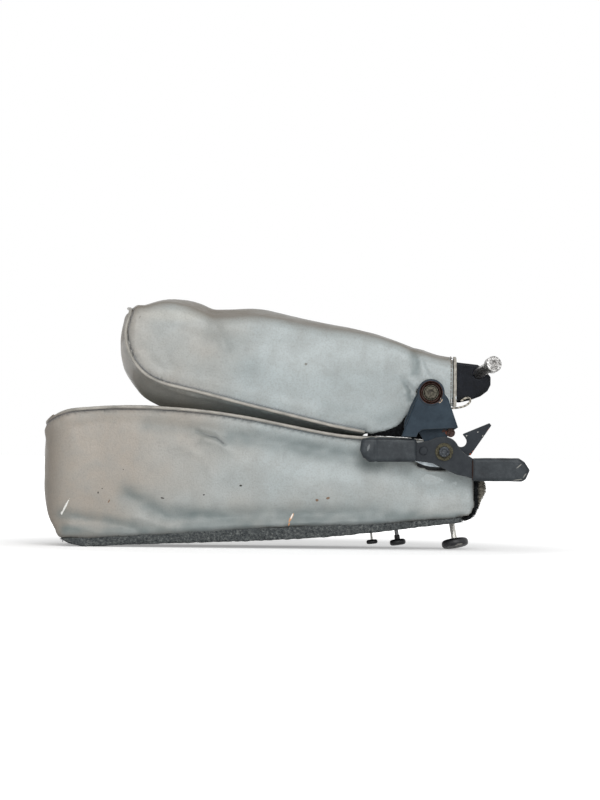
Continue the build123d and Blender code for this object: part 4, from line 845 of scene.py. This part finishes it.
front_grip = skin_of("front_grip_cover", ["front_grip"], voxel=0.55, relax=4)
moved(front_grip, front_swell)
rear_grip = skin_of("rear_grip_cover", ["rear_grip"], voxel=0.55, relax=4)
roughened(rear_grip, height=0.25, size=9.0)
dressed(front_grip, vinyl, "lever_dark", "lever", "front_grip")
dressed(rear_grip, vinyl, "lever_dark", "lever", "rear_grip")
paint(hook_enamel, "catch_hook")

# ---- End fitting and frames: cast and welded steel under black lacquer ----
# The fitting is glossy and nearly navy. The tube frames inside the pads only have a thin primer.

gloss_lacquer = enamel("black gloss lacquer", ("#05070B", "#0B101A"), ("#15181E", "#2A2D32"),
                       edge=1.2, chipped=0.78, rough=0.2, shine=0.12)
primer = enamel("black primer", ("#1A1C1F", "#26292D"), ("#4A3B30", "#6A5E52"),
                edge=0.6, chipped=0.74, rough=0.55, shine=0.3)
paint(gloss_lacquer, "end_fitting")
paint(primer, "lower_frame", "upper_frame")

# ---- Bolts, washers, pins and inserts: plain steel, some bright, some dull, some rusted ----
# Heads and washers are dulled and olive with old grease. The seat bolt is bright and pitted. The scutcheon ring
# is zinc plated, so it is pale and cool, with a cloudy spangle.


def steel(name, shades, rough, rust, pitting=0.15, blotch=3.0):
    """Bare steel: dull and bright in patches, with rust of the third shade where the noise passes `rust`.

    pitting is the depth of its pits in mm, and blotch the size of a patch."""
    made, tree, shader, where = new_material(name)
    patch = add(tree, "ShaderNodeTexNoise", "Fac",
                {"Vector": where, "Scale": 1 / (blotch * MM), "Detail": 5.0, "Roughness": 0.7})
    pits = add(tree, "ShaderNodeTexNoise", "Fac", {"Vector": where, "Scale": 1 / (1.1 * MM), "Detail": 4.0})
    colour = add(tree, "ShaderNodeValToRGB", 0, {"Fac": pits}, [(0.36, shades[0]), (0.62, shades[1])])
    rusty = add(tree, "ShaderNodeMapRange", 0, {"Value": patch, "From Min": rust, "From Max": rust + 0.05})
    colour = add(tree, "ShaderNodeMix", 2, {0: rusty, 6: colour, 7: shades[2]}, data_type="RGBA")
    metal = add(tree, "ShaderNodeMath", 0, {0: 1.0, 1: rusty}, operation="SUBTRACT")
    dull = add(tree, "ShaderNodeMapRange", 0, {"Value": patch, "From Min": 0.3, "From Max": 0.7,
                                               "To Min": rough - 0.1, "To Max": rough + 0.2})
    soft = add(tree, "ShaderNodeBevel", 0, {"Radius": 0.35 * MM}, samples=4)
    relief = add(tree, "ShaderNodeBump", 0,
                 {"Height": pits, "Distance": pitting * MM, "Strength": 0.6, "Normal": soft})
    plug(tree, shader, {"Base Color": colour, "Metallic": metal, "Roughness": dull, "Normal": relief})
    return made


paint(steel("bright pitted steel", ("#5C5A58", "#D5D4D2", "#3F3B38"), rough=0.3, rust=0.56, pitting=0.4, blotch=2.0),
      "chair_bolt")
paint(steel("bright screw steel", ("#A9A7A0", "#D8D7D2", "#A59A7C"), rough=0.3, rust=0.62),
      "screw_small", "screw_large", "insert_small", "insert_medium", "insert_large", "fitting_pin", "base_screws",
      "lever_sleeve", "lower_bush", "upper_bush")
paint(steel("grey screw steel", ("#77787A", "#A3A4A5", "#6E675C"), rough=0.4, rust=0.6), "screw_medium")
paint(steel("greasy olive steel", ("#302E27", "#4D4A3C", "#27231E"), rough=0.55, rust=0.6), "lower_washer")
paint(steel("dull washer steel", ("#55534B", "#787569", "#4A4136"), rough=0.5, rust=0.62),
      "upper_washer", "upper_spacer")
paint(steel("blued bolt steel", ("#25282C", "#484B4E", "#2E2822"), rough=0.45, rust=0.6), "lower_bolt")
paint(steel("dark bolt steel", ("#34322D", "#57544B", "#2C2620"), rough=0.5, rust=0.58), "upper_bolt")
paint(steel("rusted spring steel", ("#231613", "#40291F", "#341D14"), rough=0.6, rust=0.45, pitting=0.3),
      "boss_spring", "stop_pin")

zinc, tree, shader, where = new_material("zinc plated scutcheon")
spangle = add(tree, "ShaderNodeTexNoise", "Fac", {"Vector": where, "Scale": 1 / (6 * MM), "Detail": 4.0})
colour = add(tree, "ShaderNodeValToRGB", 0, {"Fac": spangle}, [(0.35, "#8F979D"), (0.65, "#C3CBD0")])
plug(tree, shader, {"Base Color": colour, "Metallic": 0.8, "Roughness": 0.32})
paint(zinc, "lower_scutcheon")

# ---- Thumb screws: moulded knobs on steel shanks ----
# The knobs are black nylon with a soft moulded edge, scuffed grey where they have stood on the ground.

nylon, tree, shader, where = new_material("moulded black nylon")
scuff = add(tree, "ShaderNodeTexNoise", "Fac",
            {"Vector": where, "Scale": 1 / (4 * MM), "Detail": 5.0, "Roughness": 0.7})
low = add(tree, "ShaderNodeSeparateXYZ", "Z", {0: where})
ground = add(tree, "ShaderNodeMapRange", 0, {"Value": low, "From Min": 4.5 * MM, "From Max": 0.5 * MM, "To Max": 0.3})
rubbed = add(tree, "ShaderNodeMath", 0, {0: scuff, 1: ground}, operation="ADD")
colour = add(tree, "ShaderNodeValToRGB", 0, {"Fac": rubbed}, [(0.5, "#121316"), (0.68, "#26272A"), (0.85, "#6E6D6A")])
bruise = marks(tree, where, [(139.6, 4.4, 2.6, 0.7, 8), (137.0, 3.4, 1.2, 0.5, 0)], deep=THROUGH)
colour = add(tree, "ShaderNodeMix", 2, {0: bruise, 6: colour, 7: "#8E8C86"}, data_type="RGBA")
soft = add(tree, "ShaderNodeBevel", 0, {"Radius": 0.6 * MM}, samples=4)
relief = add(tree, "ShaderNodeBump", 0, {"Height": scuff, "Distance": 0.15 * MM, "Strength": 0.5, "Normal": soft})
plug(tree, shader, {"Base Color": colour, "Roughness": 0.45, "Normal": relief})
paint(nylon, "knob_small", "knob_medium", "knob_large")

# ---- Base board: birch plywood under the carpet ----
# Thin layers show as light and dark stripes along its cut edge.

ply, tree, shader, where = new_material("birch plywood")
flat = add(tree, "ShaderNodeMapping", 0, {"Vector": where, "Scale": (1, 8, 40)})
layers = add(tree, "ShaderNodeTexNoise", "Fac", {"Vector": flat, "Scale": 1 / (17 * MM), "Detail": 4.0})
colour = add(tree, "ShaderNodeValToRGB", 0, {"Fac": layers}, [(0.35, "#9C7747"), (0.65, "#C6A272")])
plug(tree, shader, {"Base Color": colour, "Roughness": 0.75})
paint(ply, "base_board")

# ---- Camera: a long lens square on to the front side, turned a little ----

FAR, VIEW_HIGH = 4.0, 0.640      # the distance, and the height of what it sees, in metres
AIM, ROLL = (0.0097, -0.033, 0.1191), -0.62      # the point at the middle of its view, and its turn in degrees
SENSOR = 24      # mm high
camera = bpy.data.objects.new("Camera", bpy.data.cameras.new("Camera"))
scene.collection.objects.link(camera)
scene.camera = camera
camera.location = (AIM[0], AIM[1] - FAR, AIM[2])
camera.rotation_euler = (radians(90), radians(ROLL), 0)
camera.data.sensor_fit, camera.data.sensor_height = "VERTICAL", SENSOR
camera.data.lens = SENSOR * FAR / VIEW_HIGH
camera.data.clip_end = 50

# ---- Floor and light: white paper under a large window and a ceiling ----

floor = mesh_object("floor", bpy.data.meshes.new("floor"))
SIDE = 6.0      # half the sheet's length, in metres
floor.data.from_pydata([(-SIDE, -SIDE, 0), (SIDE, -SIDE, 0), (SIDE, SIDE, 0), (-SIDE, SIDE, 0)], [], [(0, 1, 2, 3)])
paper, tree, shader, where = new_material("white paper")


def looked_at(tree):
    """1 for a ray that looks at the surroundings, straight or in a reflection, and 0 for one that lights."""
    rays = add(tree, "ShaderNodeLightPath").node.outputs
    seen = rays["Is Camera Ray"]
    for ray in ("Is Glossy Ray", "Is Transmission Ray"):
        seen = add(tree, "ShaderNodeMath", 0, {0: seen, 1: rays[ray]}, operation="MAXIMUM")
    return seen


away = add(tree, "ShaderNodeVectorMath", "Value", {0: where}, operation="LENGTH")
lift = add(tree, "ShaderNodeMapRange", 0, {"Value": away, "From Min": 0.2, "From Max": 0.5, "To Min": 0.3})
plug(tree, shader, {"Base Color": "#FFFFFF", "Roughness": 1.0, "Specular IOR Level": 0.0, "Emission Color": "#FFFFFF",
                    "Emission Strength": add(tree, "ShaderNodeMath", 0, {0: lift, 1: looked_at(tree)},
                                             operation="MULTIPLY")})
floor.data.materials.append(paper)

world = bpy.data.worlds.new("World")
scene.world = world
world.use_nodes = True
tree = world.node_tree
background = next(n for n in tree.nodes if n.type == "BACKGROUND")
AMBIENT = 0.34      # how much of its white the room sheds on the object
level = add(tree, "ShaderNodeMath", 0, {0: looked_at(tree), 1: 1 - AMBIENT, 2: AMBIENT}, operation="MULTIPLY_ADD")
plug(tree, background, {"Color": "#FFFFFF", "Strength": level})

# each lamp's place and side in metres, and its power in watts
for name, place, size, power in (("window", (0.35, -2.1, 1.0), 1.3, 30), ("ceiling", (0.2, -0.5, 2.0), 1.6, 5)):
    lamp = bpy.data.objects.new(name, bpy.data.lights.new(name, "AREA"))
    scene.collection.objects.link(lamp)
    lamp.data.shape, lamp.data.size, lamp.data.energy = "SQUARE", size, power
    lamp.location = place
    lamp.rotation_euler = (Vector((0, 0, 0.1)) - Vector(place)).to_track_quat("-Z", "Y").to_euler()

scene.view_settings.view_transform = "Standard"
